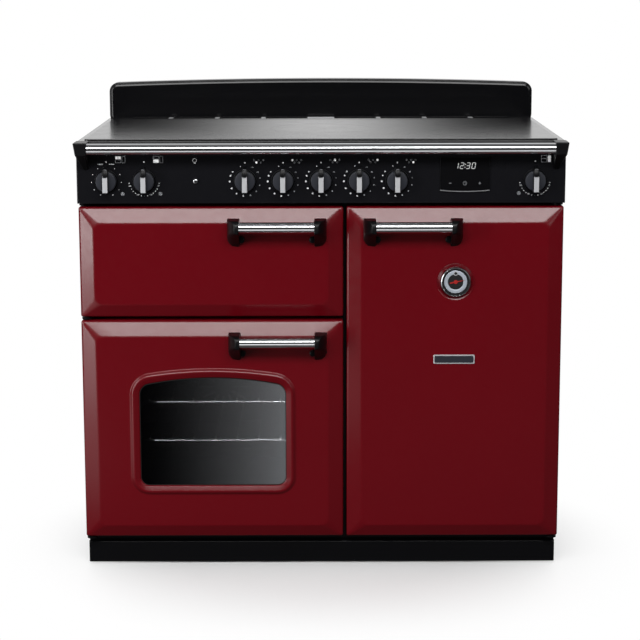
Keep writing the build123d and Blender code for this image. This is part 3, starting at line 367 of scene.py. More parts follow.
    # Wire ends in near-white matt paint, painted highlights: small bright points along a shelf's front
    made["wire_end"] = surface("wire end, painted highlight", linear("#F6F6F6"), 0.5, mottle=(2, 0.05),
                               grain=(0.8, 0.005))
    # The same wire deeper in the oven, in a painted shade so dark that it hardly shows
    made["wire_dark"] = surface("oven wire, painted shade", linear("#1E1E20"), 0.55, 0.3, mottle=(25, 0.1),
                                grain=(4, 0.004), Specular_IOR_Level=0.3)
    # Oxidised sheath of an element: brown grey and patchy
    made["element"] = surface("oxidised element sheath", linear("#4A4440"), 0.5, 0.7, mottle=(20, 0.3),
                              grain=(1.5, 0.03))
    # Hot-dip aluminised steel, pressed: dull silver with faint clouds
    made["fan_steel"] = surface("aluminised steel", linear("#8E8E8C"), 0.38, 1.0, mottle=(15, 0.15),
                                grain=(2, 0.02))
    # Hot-dip zinc: crystals that each turn the light a little differently
    made["zinc"] = spangled("hot-dip zinc steel", linear("#BDC0C2"), 14, 0.42)
    # Moulded silicone: dark and dusty, with no clear mirror
    made["seal"] = surface("silicone seal", linear("#2A2A2B"), 0.7, mottle=(12, 0.15), grain=(1.5, 0.06))
    # Moulded nylon: waxy black
    made["nylon"] = surface("nylon, black", linear("#19191A"), 0.5, mottle=(10, 0.12), grain=(1.5, 0.03))
    # Wound litz wire: warm metal broken up by its strands
    made["copper"] = surface("litz coil copper", linear("#8A4F2E"), 0.4, 0.9, mottle=(4, 0.2),
                             grain=(1.5, 0.15))
    # Float glass of the door: dark, with a mirror graded stronger towards its right, a painted reflection
    # gradient
    made["window"] = graded_mirror_pane("door glass, painted reflection gradient", linear("#0A0A0D"), linear("#F4F7FC"), 0.62, 0.05)
    # Plain float glass of the inner door and the dial: almost only its gloss shows
    made["clear"] = pane("clear inner glass", linear("#202224"), 0.14, 0.03)
    made["lens"] = pane("clear dial glass", linear("#3A3C3E"), 0.05, 0.02)
    # Lit display segments behind a dark filter: even, cool white
    made["digits"] = lit("display segments", linear("#E8EAEA"), 0.68)
    return made


# Mesh building


def loop_rect(x0, x1, z0, z1, r, y, rise=0.0, turn=6, head=14):
    """Rounded rectangle seen from the front, as points; rise lifts its top edge into an arch.

    Turn is the number of steps round a corner, and head the number along the top.
    """
    points = []
    r = max(r, 0.2 * MM)
    corners = ((x0 + r, z0 + r, 180), (x1 - r, z0 + r, 270), (x1 - r, z1 - r, 0), (x0 + r, z1 - r, 90))
    for k, (cx, cz, start) in enumerate(corners):
        for i in range(turn + 1):
            a = math.radians(start + 90 * i / turn)
            points.append([cx + r * math.cos(a), cz + r * math.sin(a)])
        if k == 2:
            for i in range(1, head):
                points.append([x1 - r + (x0 - x1 + 2 * r) * i / head, z1])
    middle, half = (x0 + x1) / 2, (x1 - x0) / 2
    for p in points[2 * (turn + 1):]:
        p[1] += rise * (1 - ((p[0] - middle) / half) ** 2)
    return [Vector((x, y, z)) for x, z in points]


def inset(low, high, edge, radius, y, top=None):
    """Rounded rectangle in a box's front: edge is mm in from its sides and foot, top is mm from its top."""
    top = edge if top is None else top
    return loop_rect(low.x + edge * MM, high.x - edge * MM, low.z + edge * MM, high.z - top * MM, radius, y)


def on_ring(x, z, radius, degrees):
    """Point on a circle in front view, clockwise from its top."""
    a = math.radians(degrees)
    return x + radius * math.sin(a), z + radius * math.cos(a)


def bridge(bm, loops, start=False, end=False, mat=0):
    """Skin a row of equal loops, with optional end caps."""
    rows = [[bm.verts.new(p) for p in loop] for loop in loops]
    made = []
    for a, b in zip(rows, rows[1:]):
        for i in range(len(a)):
            j = (i + 1) % len(a)
            made.append(bm.faces.new((a[i], a[j], b[j], b[i])))
    if start:
        made.append(bm.faces.new(rows[0][::-1]))
    if end:
        made.append(bm.faces.new(rows[-1]))
    for face in made:
        face.material_index = mat
    return rows


def turned(bm, profile, centre, axis="Y", steps=48, mat=0, start=True, end=True):
    """Turned form: profile is (radius, place along the axis)."""
    loops = []
    for radius, along in profile:
        loop = []
        for i in range(steps):
            a = 2 * math.pi * i / steps
            c, s = radius * math.cos(a), radius * math.sin(a)
            offset = {"X": (along, c, s), "Y": (c, along, s), "Z": (c, s, along)}[axis]
            loop.append(Vector(centre) + Vector(offset))
        loops.append(loop)
    bridge(bm, loops, start, end, mat)


def brick(bm, low, high, mat=0):
    """Box between two corners."""
    (x0, y0, z0), (x1, y1, z1) = low, high
    loops = [[Vector((x, y, z)) for x, z in ((x0, z0), (x1, z0), (x1, z1), (x0, z1))] for y in (y1, y0)]
    bridge(bm, loops, True, True, mat)


def rod(bm, p, q, radius, steps=10, mat=0):
    """Straight round wire between two points."""
    p, q = Vector(p), Vector(q)
    along = (q - p).normalized()
    side = along.orthogonal().normalized()
    other = along.cross(side)
    ring = [side * math.cos(a) + other * math.sin(a)
            for a in (2 * math.pi * i / steps for i in range(steps))]
    bridge(bm, [[c + v * radius for v in ring] for c in (p, q)], True, True, mat)


def disc(bm, x, z, radius, y, steps=20, mat=0):
    """Flat printed dot that faces the front."""
    bm.faces.new([bm.verts.new((x + radius * math.cos(a), y, z + radius * math.sin(a)))
                  for a in (2 * math.pi * i / steps for i in range(steps))]).material_index = mat


def band(bm, x, z, inner, outer, y, start=0.0, sweep=360.0, steps=40, mat=0):
    """Flat printed ring or arc; angles run clockwise from the top, in degrees."""
    rows = []
    count = steps if sweep >= 360 else steps + 1
    for i in range(count):
        points = [on_ring(x, z, r, start + sweep * i / steps) for r in (inner, outer)]
        rows.append([bm.verts.new((px, y, pz)) for px, pz in points])
    for i in range(steps):
        a, b = rows[i], rows[(i + 1) % count]
        bm.faces.new((a[0], a[1], b[1], b[0])).material_index = mat


def stroke(bm, p, q, wide, y, mat=0):
    """Flat printed line between two points (x, z)."""
    p, q = Vector(p), Vector(q)
    side = (q - p).orthogonal().normalized() * wide / 2
    corners = (p + side, q + side, q - side, p - side)
    bm.faces.new([bm.verts.new((v.x, y, v.y)) for v in corners]).material_index = mat


def letters(bm, text, x, z, size, y):
    """Flat printed numerals, centred on a point."""
    curve = bpy.data.curves.new("numerals", "FONT")
    curve.body, curve.size = text, size
    curve.align_x, curve.align_y = "CENTER", "CENTER"
    holder = bpy.data.objects.new("numerals", curve)
    mesh = bpy.data.meshes.new_from_object(holder)
    rows = [bm.verts.new((x + v.co.x, y, z + v.co.y)) for v in mesh.vertices]
    for polygon in mesh.polygons:
        bm.faces.new([rows[i] for i in polygon.vertices])
    bpy.data.objects.remove(holder)
    bpy.data.curves.remove(curve)
    bpy.data.meshes.remove(mesh)


def as_mesh(bm, name, outward=True):
    """Finish a built form as a mesh, with its faces turned outward unless they already face the right way."""
    mesh = bpy.data.meshes.new(name)
    if outward:
        bmesh.ops.recalc_face_normals(bm, faces=bm.faces)
    bm.to_mesh(mesh)
    bm.free()
    return mesh


def put(bm, name, body, materials, nodes=(), bevel=0.0, sharp=32, outward=True):
    """Turn a built form into a piece that rides on a body and may stand for frame nodes."""
    put_mesh(as_mesh(bm, name, outward), name, body, materials, nodes, bevel, sharp)


def put_mesh(mesh, name, body, materials, nodes=(), bevel=0.0, sharp=32, at=None):
    """Place a finished mesh as a piece."""
    if not mesh.materials:
        for key in materials:
            mesh.materials.append(finishes()[key])
        mesh.polygons.foreach_set("use_smooth", [True] * len(mesh.polygons))
        mesh.set_sharp_from_angle(angle=math.radians(sharp))
    piece = bpy.data.objects.new(name, mesh)
    bpy.context.scene.collection.objects.link(piece)
    if at is not None:
        piece.location = at
    if bevel:
        edge = piece.modifiers.new("worn edge", "BEVEL")
        edge.width = bevel
        edge.segments = 3
        edge.limit_method = "ANGLE"
        edge.angle_limit = math.radians(sharp)
        edge.harden_normals = True
    bpy.context.view_layer.update()
    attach(piece, body)
    if nodes:
        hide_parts(*nodes)


def coat(node_name, key):
    """Give a frame node its finish."""
    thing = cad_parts[node_name]
    thing.data.materials.clear()
    thing.data.materials.append(finishes()[key])


def tube(name, body, node_name):
    """Chromed tube that stands for a frame node; gives its radius and its middle."""
    low, high = lo_hi(node_name)
    radius, middle = (high.z - low.z) / 2, middle_of(node_name)
    bm = bmesh.new()
    turned(bm, [(radius, low.x - middle.x), (radius, high.x - middle.x)], middle, "X", 56)
    put(bm, name, body, ["chrome"], [node_name])
    return radius, middle


def edges_round(rows):
    """Edges along a closed row of vertices."""
    found = []
    for a, b in zip(rows, rows[1:] + rows[:1]):
        found += [edge for edge in a.link_edges if edge.other_vert(a) is b]
    return found


def press_door(low, high, sizes):
    """Pressed door skin: a folded edge, four sloping borders and a raised middle panel."""
    edge, outer = FACE + sizes.bevel_depth, 4 * MM
    # Share of the border's width from the door's edge, depth, and corner radius
    shape = [(0, DOOR_BACK, outer), (0, edge + 2.2 * MM, outer), (0.015, edge + 1.0 * MM, outer),
             (0.05, edge + 0.1 * MM, outer)]
    for share in (0.1, 0.13, 0.5, 0.89, 0.92):
        shape.append((share, edge - sizes.bevel_depth * share, outer + (sizes.panel_radius - outer) * share))
    shape += [(0.97, FACE + 0.5 * MM, sizes.panel_radius), (1.02, FACE + 0.12 * MM, sizes.panel_radius),
              (1.08, FACE, sizes.panel_radius), (1.16, FACE, sizes.panel_radius)]
    return [loop_rect(low.x + sizes.bevel_side * share, high.x - sizes.bevel_side * share,
                      low.z + sizes.bevel_bottom * share, high.z - sizes.bevel_top * share, radius, y)
            for share, y, radius in shape]


def window_loop(low, high, sizes, grow, y):
    """Outline of the arched window, grown by a length."""
    middle, half = (low.x + high.x) / 2, sizes.window_width / 2
    z0 = low.z + sizes.window_foot
    z1 = z0 + sizes.window_side
    return loop_rect(middle - half - grow, middle + half + grow, z0 - grow, z1 + grow, WINDOW_CORNER + grow,
                     y, sizes.window_rise)


def window_bead(low, high, sizes):
    """Bead round the arched window, from its foot on the panel to the glass."""
    # Share of the bead's width from the opening, and share of its height
    section = ((1.1, 0), (1.0, 0), (0.95, 0.1), (0.84, 0.5), (0.74, 0.84), (0.66, 0.97), (0.59, 1.0),
               (0.54, 0.97), (0.5, 0.915), (0.48, 0.88), (0.1, 0.28), (0.08, 0.24), (0.045, 0.07),
               (0.0, -0.15), (0.0, -0.6))
    return [window_loop(low, high, sizes, wide * sizes.bead_width, FACE - tall * sizes.bead_height)
            for wide, tall in section]


class COOKER_OT_doors(bpy.types.Operator):
    """Press the three door skins with sloping borders, and the beaded, arched window"""
    bl_idname = "cooker.doors"
    bl_label = "Doors"

    def execute(self, context):
        sizes = context.scene.cooker_sizes
        for door in DOORS:
            low, high = lo_hi(door + "_door_skin")
            bm = bmesh.new()
            loops = press_door(low, high, sizes)
            if door == "grill":
                bridge(bm, loops, end=True)
            elif door == "oven":
                bridge(bm, loops + window_bead(low, high, sizes))
            else:
                self.dished(bm, bridge(bm, loops)[-1])
            put(bm, door + "_skin", door + "_door", ["enamel_red"], [door + "_door_skin"],
                sharp=50)
            coat(door + "_door_liner", "enamel_oven")
        # Black band fired on the edge of the window's glass, just in front of the pane
        low, high = lo_hi("oven_door_skin")
        pane_front = lo_hi("oven_door_glass")[0].y - 0.2 * MM
        bm = bmesh.new()
        bridge(bm, [window_loop(low, high, sizes, grow * MM, pane_front) for grow in (3, -1.5)])
        put(bm, "glass_border", "oven_door", ["dial_black_and_reflection"], outward=False)
        coat("oven_door_glass", "window")
        coat("oven_inner_glass", "clear")
        return {"FINISHED"}

    def dished(self, bm, last):
        """Middle panel of the tall door, with a shallow dish for the thermometer."""
        centre, dish, around = middle_of("gauge_housing"), 38.5 * MM, 64
        rim = [(dish + 1.5 * MM, FACE), (dish, FACE + 0.1 * MM), (dish - 1.5 * MM, FACE + 0.8 * MM),
               (dish - 5.5 * MM, FACE + 2.8 * MM), (dish - 7.5 * MM, FACE + 3 * MM)]
        start = len(bm.verts)
        turned(bm, rim, (centre.x, 0, centre.z), steps=around, start=False)
        bm.verts.ensure_lookup_table()
        first = [bm.verts[start + i] for i in range(around)]
        bmesh.ops.triangle_fill(bm, edges=edges_round(last) + edges_round(first), use_beauty=True)


class COOKER_OT_handles(bpy.types.Operator):
    """Chromed handle bars between wedge-shaped ends with round feet"""
    bl_idname = "cooker.handles"
    bl_label = "Handles"

    def execute(self, context):
        for door in DOORS:
            radius, middle = tube(door + "_bar", door + "_door", door + "_handle_bar")
            low, high = lo_hi(door + "_handle_ends")
            bm = bmesh.new()
            for outer, side in ((low.x, 1), (high.x, -1)):
                handle_end(bm, outer, side, middle.z, radius, low.z)
            put(bm, door + "_ends", door + "_door", ["abs_ends"], [door + "_handle_ends"],
                bevel=1.6 * MM)
        return {"FINISHED"}


def sweep_between(bm, back, front, curve=0.85, drop=0.0, steps=7):
    """Form swept from an outline on the door or panel to one at the bar, where its top falls by the drop."""
    loops = []
    for i in range(steps + 1):
        share = i / steps
        across, down = share ** curve, share ** 0.85
        y = FACE + (REACH - FACE) * share
        # The first two points are the top's, and fall as a quarter of an ellipse over the last quarter
        nose = max(0.0, 4 * share - 3)
        fall = drop * (1 - math.sqrt(1 - nose * nose))
        loop = [Vector((a[0] + (b[0] - a[0]) * across, y, a[1] + (b[1] - a[1]) * down))
                for a, b in zip(back, front)]
        for point in loop[:2]:
            point.z -= fall
        loops.append(loop)
    bridge(bm, loops, True, True)


def handle_end(bm, outer, side, z, radius, foot_z):
    """Wedge that sweeps from the door out to the bar, and its round foot."""
    inner, top, chin = outer + side * 25 * MM, z + radius + 2.5 * MM, z - radius - 1 * MM
    foot, nose = foot_z - 2.5 * MM, inner - side * 9 * MM
    back = ((outer, top), (inner, top), (inner, foot), (inner - side * 7 * MM, foot),
            (outer + side * 10 * MM, foot + 1.5 * MM), (outer + side * 4 * MM, foot + 6.5 * MM),
            (outer, foot + 14 * MM))
    front = ((nose, top), (inner, top), (inner, chin), (inner - side * 3 * MM, chin),
             (nose + side * 4 * MM, chin + 0.5 * MM), (nose + side * 1.5 * MM, chin + 2 * MM),
             (nose, chin + 4 * MM))
    sweep_between(bm, back, front, curve=2.6, drop=10 * MM, steps=24)
    turned(bm, [(7 * MM, FACE), (7 * MM, FACE - 7 * MM), (6.2 * MM, FACE - 8.6 * MM),
                (4.5 * MM, FACE - 9 * MM)], (inner + side * 3.5 * MM, 0, z - 30 * MM), steps=28)


class COOKER_OT_panel(bpy.types.Operator):
    """Folded control panel with its printed dots, zone signs and numerals"""
    bl_idname = "cooker.panel"
    bl_label = "Control panel"

    def execute(self, context):
        sizes = context.scene.cooker_sizes
        low, high = lo_hi("control_panel")
        bm = bmesh.new()
        # Folded edge: mm in from the panel's edge, and depth
        shape = [(0, high.y), (0, FACE + 2.0 * MM), (0.25, FACE + 0.9 * MM), (0.9, FACE + 0.25 * MM),
                 (2.0, FACE), (4.0, FACE)]
        bridge(bm, [inset(low, high, i, 1.5 * MM, y) for i, y in shape], end=True)
        put(bm, "panel", BODY, ["enamel_panel"], ["control_panel"])
        bm = bmesh.new()
        for name in KNOB_NODES:
            x, z = middle_of(name).x, middle_of("light_button").z
            if "hob" in name:
                print_hob(bm, x, z, int(name[-1]), sizes)
            else:
                print_oven(bm, x, z, name, sizes)
        print_bulb(bm)
        put(bm, "panel_print", BODY, INKS, outward=False)
        coat("control_switches", "nylon")
        return {"FINISHED"}


def print_hob(bm, x, z, zone, sizes):
    """Dots that shrink and pale as the power falls, two low-heat signs, and the sign of the zone."""
    ring = sizes.dot_ring
    disc(bm, x, z + 37 * MM, sizes.dot * 0.8, INK)
    angles = (-16.5, -53, -70, -92, -119, -146, -173, 160, 133, 106, 79)
    growing = (0.55, 0.7, 0.85, 1.0)
    for i, angle in enumerate(angles):
        share = growing[i] if i < len(growing) else 1.0 - 0.065 * (i - 3)
        disc(bm, *on_ring(x, z, ring, angle), sizes.dot * share, INK, mat=PALE * int(i > 6))
    for angle in (56, 29):
        cx, cz = on_ring(x, z, ring, angle)
        band(bm, cx, cz, 1.3 * MM, 1.8 * MM, INK, -90, 180, 12, PALE)
        stroke(bm, (cx - 2.2 * MM, cz), (cx + 2.2 * MM, cz), 0.6 * MM, INK, PALE)
    places = ((-4.6, 0), (-9, 4.6), (0, 4.6), (9, 4.6), (4.6, 0))
    for i, (dx, dz) in enumerate(places):
        cx, cz = x + (28 + dx) * MM, z + (37.5 + dz) * MM
        if i + 1 == zone:
            disc(bm, cx, cz, 2.2 * MM, INK, mat=WHITE)
        else:
            band(bm, cx, cz, 1.2 * MM, 1.7 * MM, INK, steps=24, mat=PALE)


def print_oven(bm, x, z, name, sizes):
    """Marks of the grill knob and of the two oven knobs, and the sign of the oven that each one serves."""
    ring = sizes.dot_ring - 0.5 * MM
    disc(bm, x, z + 39 * MM, sizes.dot * 0.85, INK)
    if "grill" in name:
        marks, numerals = (34, 64, 94, 124.5, 156), ()
        for dx in (-1, 1):
            stroke(bm, (x + dx * 6 * MM, z + 34.5 * MM), (x + dx * 16.5 * MM, z + 34.5 * MM), 1.6 * MM, INK)
    else:
        marks = (98, 121.5, 132.5, 144, 168, 180)
        numerals = ((109, "50"), (154.5, "120"), (205.5, "190"), (251, "250"))
    for angle in marks:
        for side in (-1, 1):
            disc(bm, *on_ring(x, z, ring, side * angle), sizes.dot * 0.5, INK)
    for angle, text in numerals:
        letters(bm, text, *on_ring(x, z, ring, angle), 3.6 * MM, INK)
    side = -1 if "tall" in name else 1
    fan_sign(bm, x + side * 32.5 * MM, z - 26 * MM)
    cavity_sign(bm, x + (21 if "tall" in name else 28) * MM, z + 44 * MM, name)


def fan_sign(bm, x, z):
    """Small round fan sign."""
    band(bm, x, z, 2.8 * MM, 3.6 * MM, INK, steps=28, mat=PALE)
    for angle in (0, 120, 240):
        disc(bm, *on_ring(x, z, 1.4 * MM, angle), 1.0 * MM, INK, 12, PALE)


def cavity_sign(bm, x, z, name):
    """Outline of the cooker's front with the served cavity filled."""
    # Left, right, foot and top of each cavity's box, in mm
    boxes = {"knob_grill": (-9, 2, 0.8, 6.6), "knob_main_oven": (-9, 2, -6.6, 0),
             "knob_tall_oven": (4.2, 10.4, -6.6, 6.6)}
    for key, (x0, x1, z0, z1) in boxes.items():
        corners = [(x + a * MM, z + b * MM) for a, b in ((x0, z0), (x1, z0), (x1, z1), (x0, z1))]
        if key == name:
            bm.faces.new([bm.verts.new((a, INK, b)) for a, b in corners]).material_index = WHITE
        else:
            for p, q in zip(corners, corners[1:] + corners[:1]):
                stroke(bm, p, q, 0.8 * MM, INK, PALE)


def print_bulb(bm):
    """Lamp sign above the light button."""
    x, z = middle_of("light_button").x - 1.5 * MM, lo_hi("light_button")[1].z + 36 * MM
    band(bm, x, z, 3.4 * MM, 4.3 * MM, INK, -145, 290, 28)
    for dz in (-4.4, -6.0):
        stroke(bm, (x - 2 * MM, z + dz * MM), (x + 2 * MM, z + dz * MM), 0.8 * MM, INK)


class COOKER_OT_knobs(bpy.types.Operator):
    """Eight rotary knobs: skirt, disc, gloss grip and brushed insert"""
    bl_idname = "cooker.knobs"
    bl_label = "Knobs"

    def execute(self, context):
        bm = bmesh.new()
        y0, y1, y2, y3 = (FACE - d * MM for d in (1, 6, 14, 28))
        turned(bm, [(23.6 * MM, y0), (24 * MM, y0 - 0.6 * MM), (23.7 * MM, y1 + 0.8 * MM), (22.9 * MM, y1),
                    (20.8 * MM, y1)], (0, 0, 0), steps=64, mat=0, end=False)
        turned(bm, [(20.8 * MM, y1 + 0.5 * MM), (20.6 * MM, y2 + 1.2 * MM), (19.8 * MM, y2 + 0.2 * MM),
                    (18.7 * MM, y2)], (0, 0, 0), steps=64, mat=1, start=False)
        grip(bm, y1, y2, y3)
        mesh = as_mesh(bm, "knob")
        # Skirt, disc, grip, insert and the pale arc of painted highlight
        materials = ["abs_gloss", "knob_disc", "abs_gloss", "steel_insert", "ink_pale"]
        button = middle_of("light_button")
        for name in KNOB_NODES:
            put_mesh(mesh, name + "_dressed", name, materials, [name], bevel=0.5 * MM,
                     sharp=30, at=(middle_of(name).x, 0, button.z))
        bm = bmesh.new()
        turned(bm, [(2.9 * MM, lo_hi("light_button")[1].y), (2.9 * MM, FACE + 2 * MM),
                    (6 * MM, FACE + 2 * MM), (6 * MM, FACE - 1.4 * MM), (5.7 * MM, FACE - 2.6 * MM),
                    (5.0 * MM, FACE - 3.7 * MM), (3.8 * MM, FACE - 4.6 * MM), (2.2 * MM, FACE - 5.0 * MM),
                    (0.6 * MM, FACE - 5.0 * MM)], (button.x, 0, button.z), steps=36)
        put(bm, "light_button_cap", "light_button", ["chrome_turned"], ["light_button"])
        return {"FINISHED"}


def grip(bm, y1, y2, y3):
    """Bar across a knob: gloss upper part with a pale arc at its top end, a painted highlight, and a brushed
    insert below.
    """
    half, head, heel = 5.5 * MM, 30 * MM, -22 * MM
    split = 9 * MM
    side = [(y1, head - 6 * MM), (y2, head), (y3 + 4 * MM, head - 3 * MM), (y3, head - 10 * MM), (y3, split),
            (y2, split), (y1, split)]
    loops = []
    for x, tuck in ((-half, 0.6), (-half * 0.7, 0), (half * 0.7, 0), (half, 0.6)):
        loops.append([Vector((x, y + (tuck * MM if y < y2 else 0), z - (tuck * MM if z > split else 0)))
                      for y, z in side])
    bridge(bm, loops, True, True, 2)
    brick(bm, (-half, y3 + 0.6 * MM, heel), (half, y2 + 1 * MM, split), 2)
    brick(bm, (-half + 0.5 * MM, y3, heel + 1.2 * MM), (half - 0.5 * MM, y3 + 0.8 * MM, split + 2 * MM), 3)
    # Pale grey arc at the grip's top end: a painted highlight
    band(bm, 0, head - 11.5 * MM, 6.9 * MM, 7.7 * MM, y3 + 2.0 * MM, -24, 48, 10, 4)


class COOKER_OT_clock(bpy.types.Operator):
    """Gloss clock with lit digits, touch keys and a curved steel strip below"""
    bl_idname = "cooker.clock"
    bl_label = "Clock"

    def execute(self, context):
        low, high = lo_hi("clock_module")
        x0, x1, z1 = low.x, high.x, high.z
        middle, half, z0 = (x0 + x1) / 2, (x1 - x0) / 2, low.z + 7 * MM
        front = FACE - 3 * MM
        bm = bmesh.new()
        loops = []
        for i, y in ((0, FACE + 1 * MM), (0, front + 1 * MM), (0.3, front + 0.3 * MM), (1.0, front),
                     (2.4, front)):
            loop = loop_rect(x0 + i * MM, x1 - i * MM, z0 + i * MM, z1 - i * MM, 1.2 * MM, y, 4 * MM)
            loops.append([Vector((p.x, p.y, z0 + z1 - p.z)) for p in loop])
        bridge(bm, loops, True, True, 0)
        strip = ((FACE, 0.9), (front - 0.4 * MM, 0.9), (front - 1 * MM, 0.4), (front - 1 * MM, -0.4),
                 (front - 0.4 * MM, -0.9), (FACE, -0.9))
        sections, pieces, sag = [], 24, 2.4 * MM
        for i in range(pieces + 1):
            share = i / pieces * 2 - 1
            z = z0 - 1.5 * MM - sag * (1 - share ** 2)
            sections.append([Vector((middle + share * half, y, z + dz * MM)) for y, dz in strip])
        bridge(bm, sections, True, True, 1)
        put(bm, "clock_dressed", BODY, ["abs_gloss", "steel_blasted"], ["clock_module"])
        ink = front - 0.15 * MM
        bm = bmesh.new()
        # Row's height, first digit's place, step and extra room for the colon, in mm
        row, first, step, colon = -17.5, -17.2, 11, 1.5
        for i, char in enumerate(CLOCK_TIME):
            digit(bm, char, middle + (first + step * i + (0 if i < 2 else colon)) * MM, z1 + row * MM, ink)
        for dz in (-3, 3):
            disc(bm, middle + (0.2 + 0.18 * dz) * MM, z1 + (row + dz) * MM, 0.9 * MM, ink, 12)
        put(bm, "clock_digits", BODY, ["digits"], outward=False)
        # Touch keys: minus, plus, and a clock between them
        bm = bmesh.new()
        key_z = z1 - 53 * MM
        stroke(bm, (x0 + 17.5 * MM, key_z), (x0 + 22.5 * MM, key_z), 1.2 * MM, ink)
        stroke(bm, (x1 - 22.5 * MM, key_z), (x1 - 17.5 * MM, key_z), 1.2 * MM, ink)
        stroke(bm, (x1 - 20 * MM, key_z - 2.5 * MM), (x1 - 20 * MM, key_z + 2.5 * MM), 1.2 * MM, ink)
        band(bm, middle, key_z, 3.4 * MM, 4.1 * MM, ink, steps=28)
        stroke(bm, (middle, key_z), (middle, key_z + 2.4 * MM), 0.9 * MM, ink)
        stroke(bm, (middle, key_z), (middle + 1.8 * MM, key_z), 0.9 * MM, ink)
        put(bm, "clock_keys", BODY, ["ink_pale"], outward=False)
        return {"FINISHED"}


SEGMENTS = {"0": "abcdef", "1": "bc", "2": "abged", "3": "abgcd"}


def digit(bm, char, x, z, y):
    """Slanted seven-segment digit, centred on a point."""
    w, h, lean, wide = 3.2 * MM, 5.9 * MM, 0.16, 1.15 * MM
    corner = {key: (x + dx * w + lean * dz * h, z + dz * h) for key, (dx, dz) in
              {"nw": (-1, 1), "ne": (1, 1), "w": (-1, 0), "e": (1, 0), "sw": (-1, -1), "se": (1, -1)}.items()}
    ends = {"a": ("nw", "ne"), "b": ("ne", "e"), "c": ("e", "se"), "d": ("sw", "se"), "e": ("w", "sw"),
            "f": ("nw", "w"), "g": ("w", "e")}
    for key in SEGMENTS[char]:
        p, q = (Vector(corner[k]) for k in ends[key])
        gap = (q - p).normalized() * 0.5 * MM
        stroke(bm, p + gap, q - gap, wide, y)


class COOKER_OT_towel_rail(bpy.types.Operator):
    """Chromed towel rail between two tapering brackets"""
    bl_idname = "cooker.towel_rail"
    bl_label = "Towel rail"

    def execute(self, context):
        tube("rail", BODY, "towel_rail")
        low, high = lo_hi("towel_rail_ends")
        bm = bmesh.new()
        for side in (-1, 1):
            rail_end(bm, side, high.x, lo_hi("towel_rail")[1].x, low.z, high.z)
        put(bm, "rail_ends", BODY, ["abs_ends"], ["towel_rail_ends"], bevel=2.0 * MM)
        return {"FINISHED"}


def rail_end(bm, side, outer, inner, low, top):
    """Bracket that is full at the rail and narrows down the panel to a tip."""
    outer, inner = side * outer, side * inner
    middle, tip, nose = outer + (inner - outer) * 0.7, 5 * MM, top - 25 * MM
    back = ((outer, top), (inner, top), (middle - side * tip, low), (middle + side * tip, low))
    front = ((outer, top), (inner, top), (inner, nose), (outer - side * 4 * MM, nose))
    sweep_between(bm, back, front)


def lay(loop):
    """Turn a loop drawn in front view into plan: its height becomes depth."""
    return [Vector((p.x, p.z, p.y)) for p in loop]


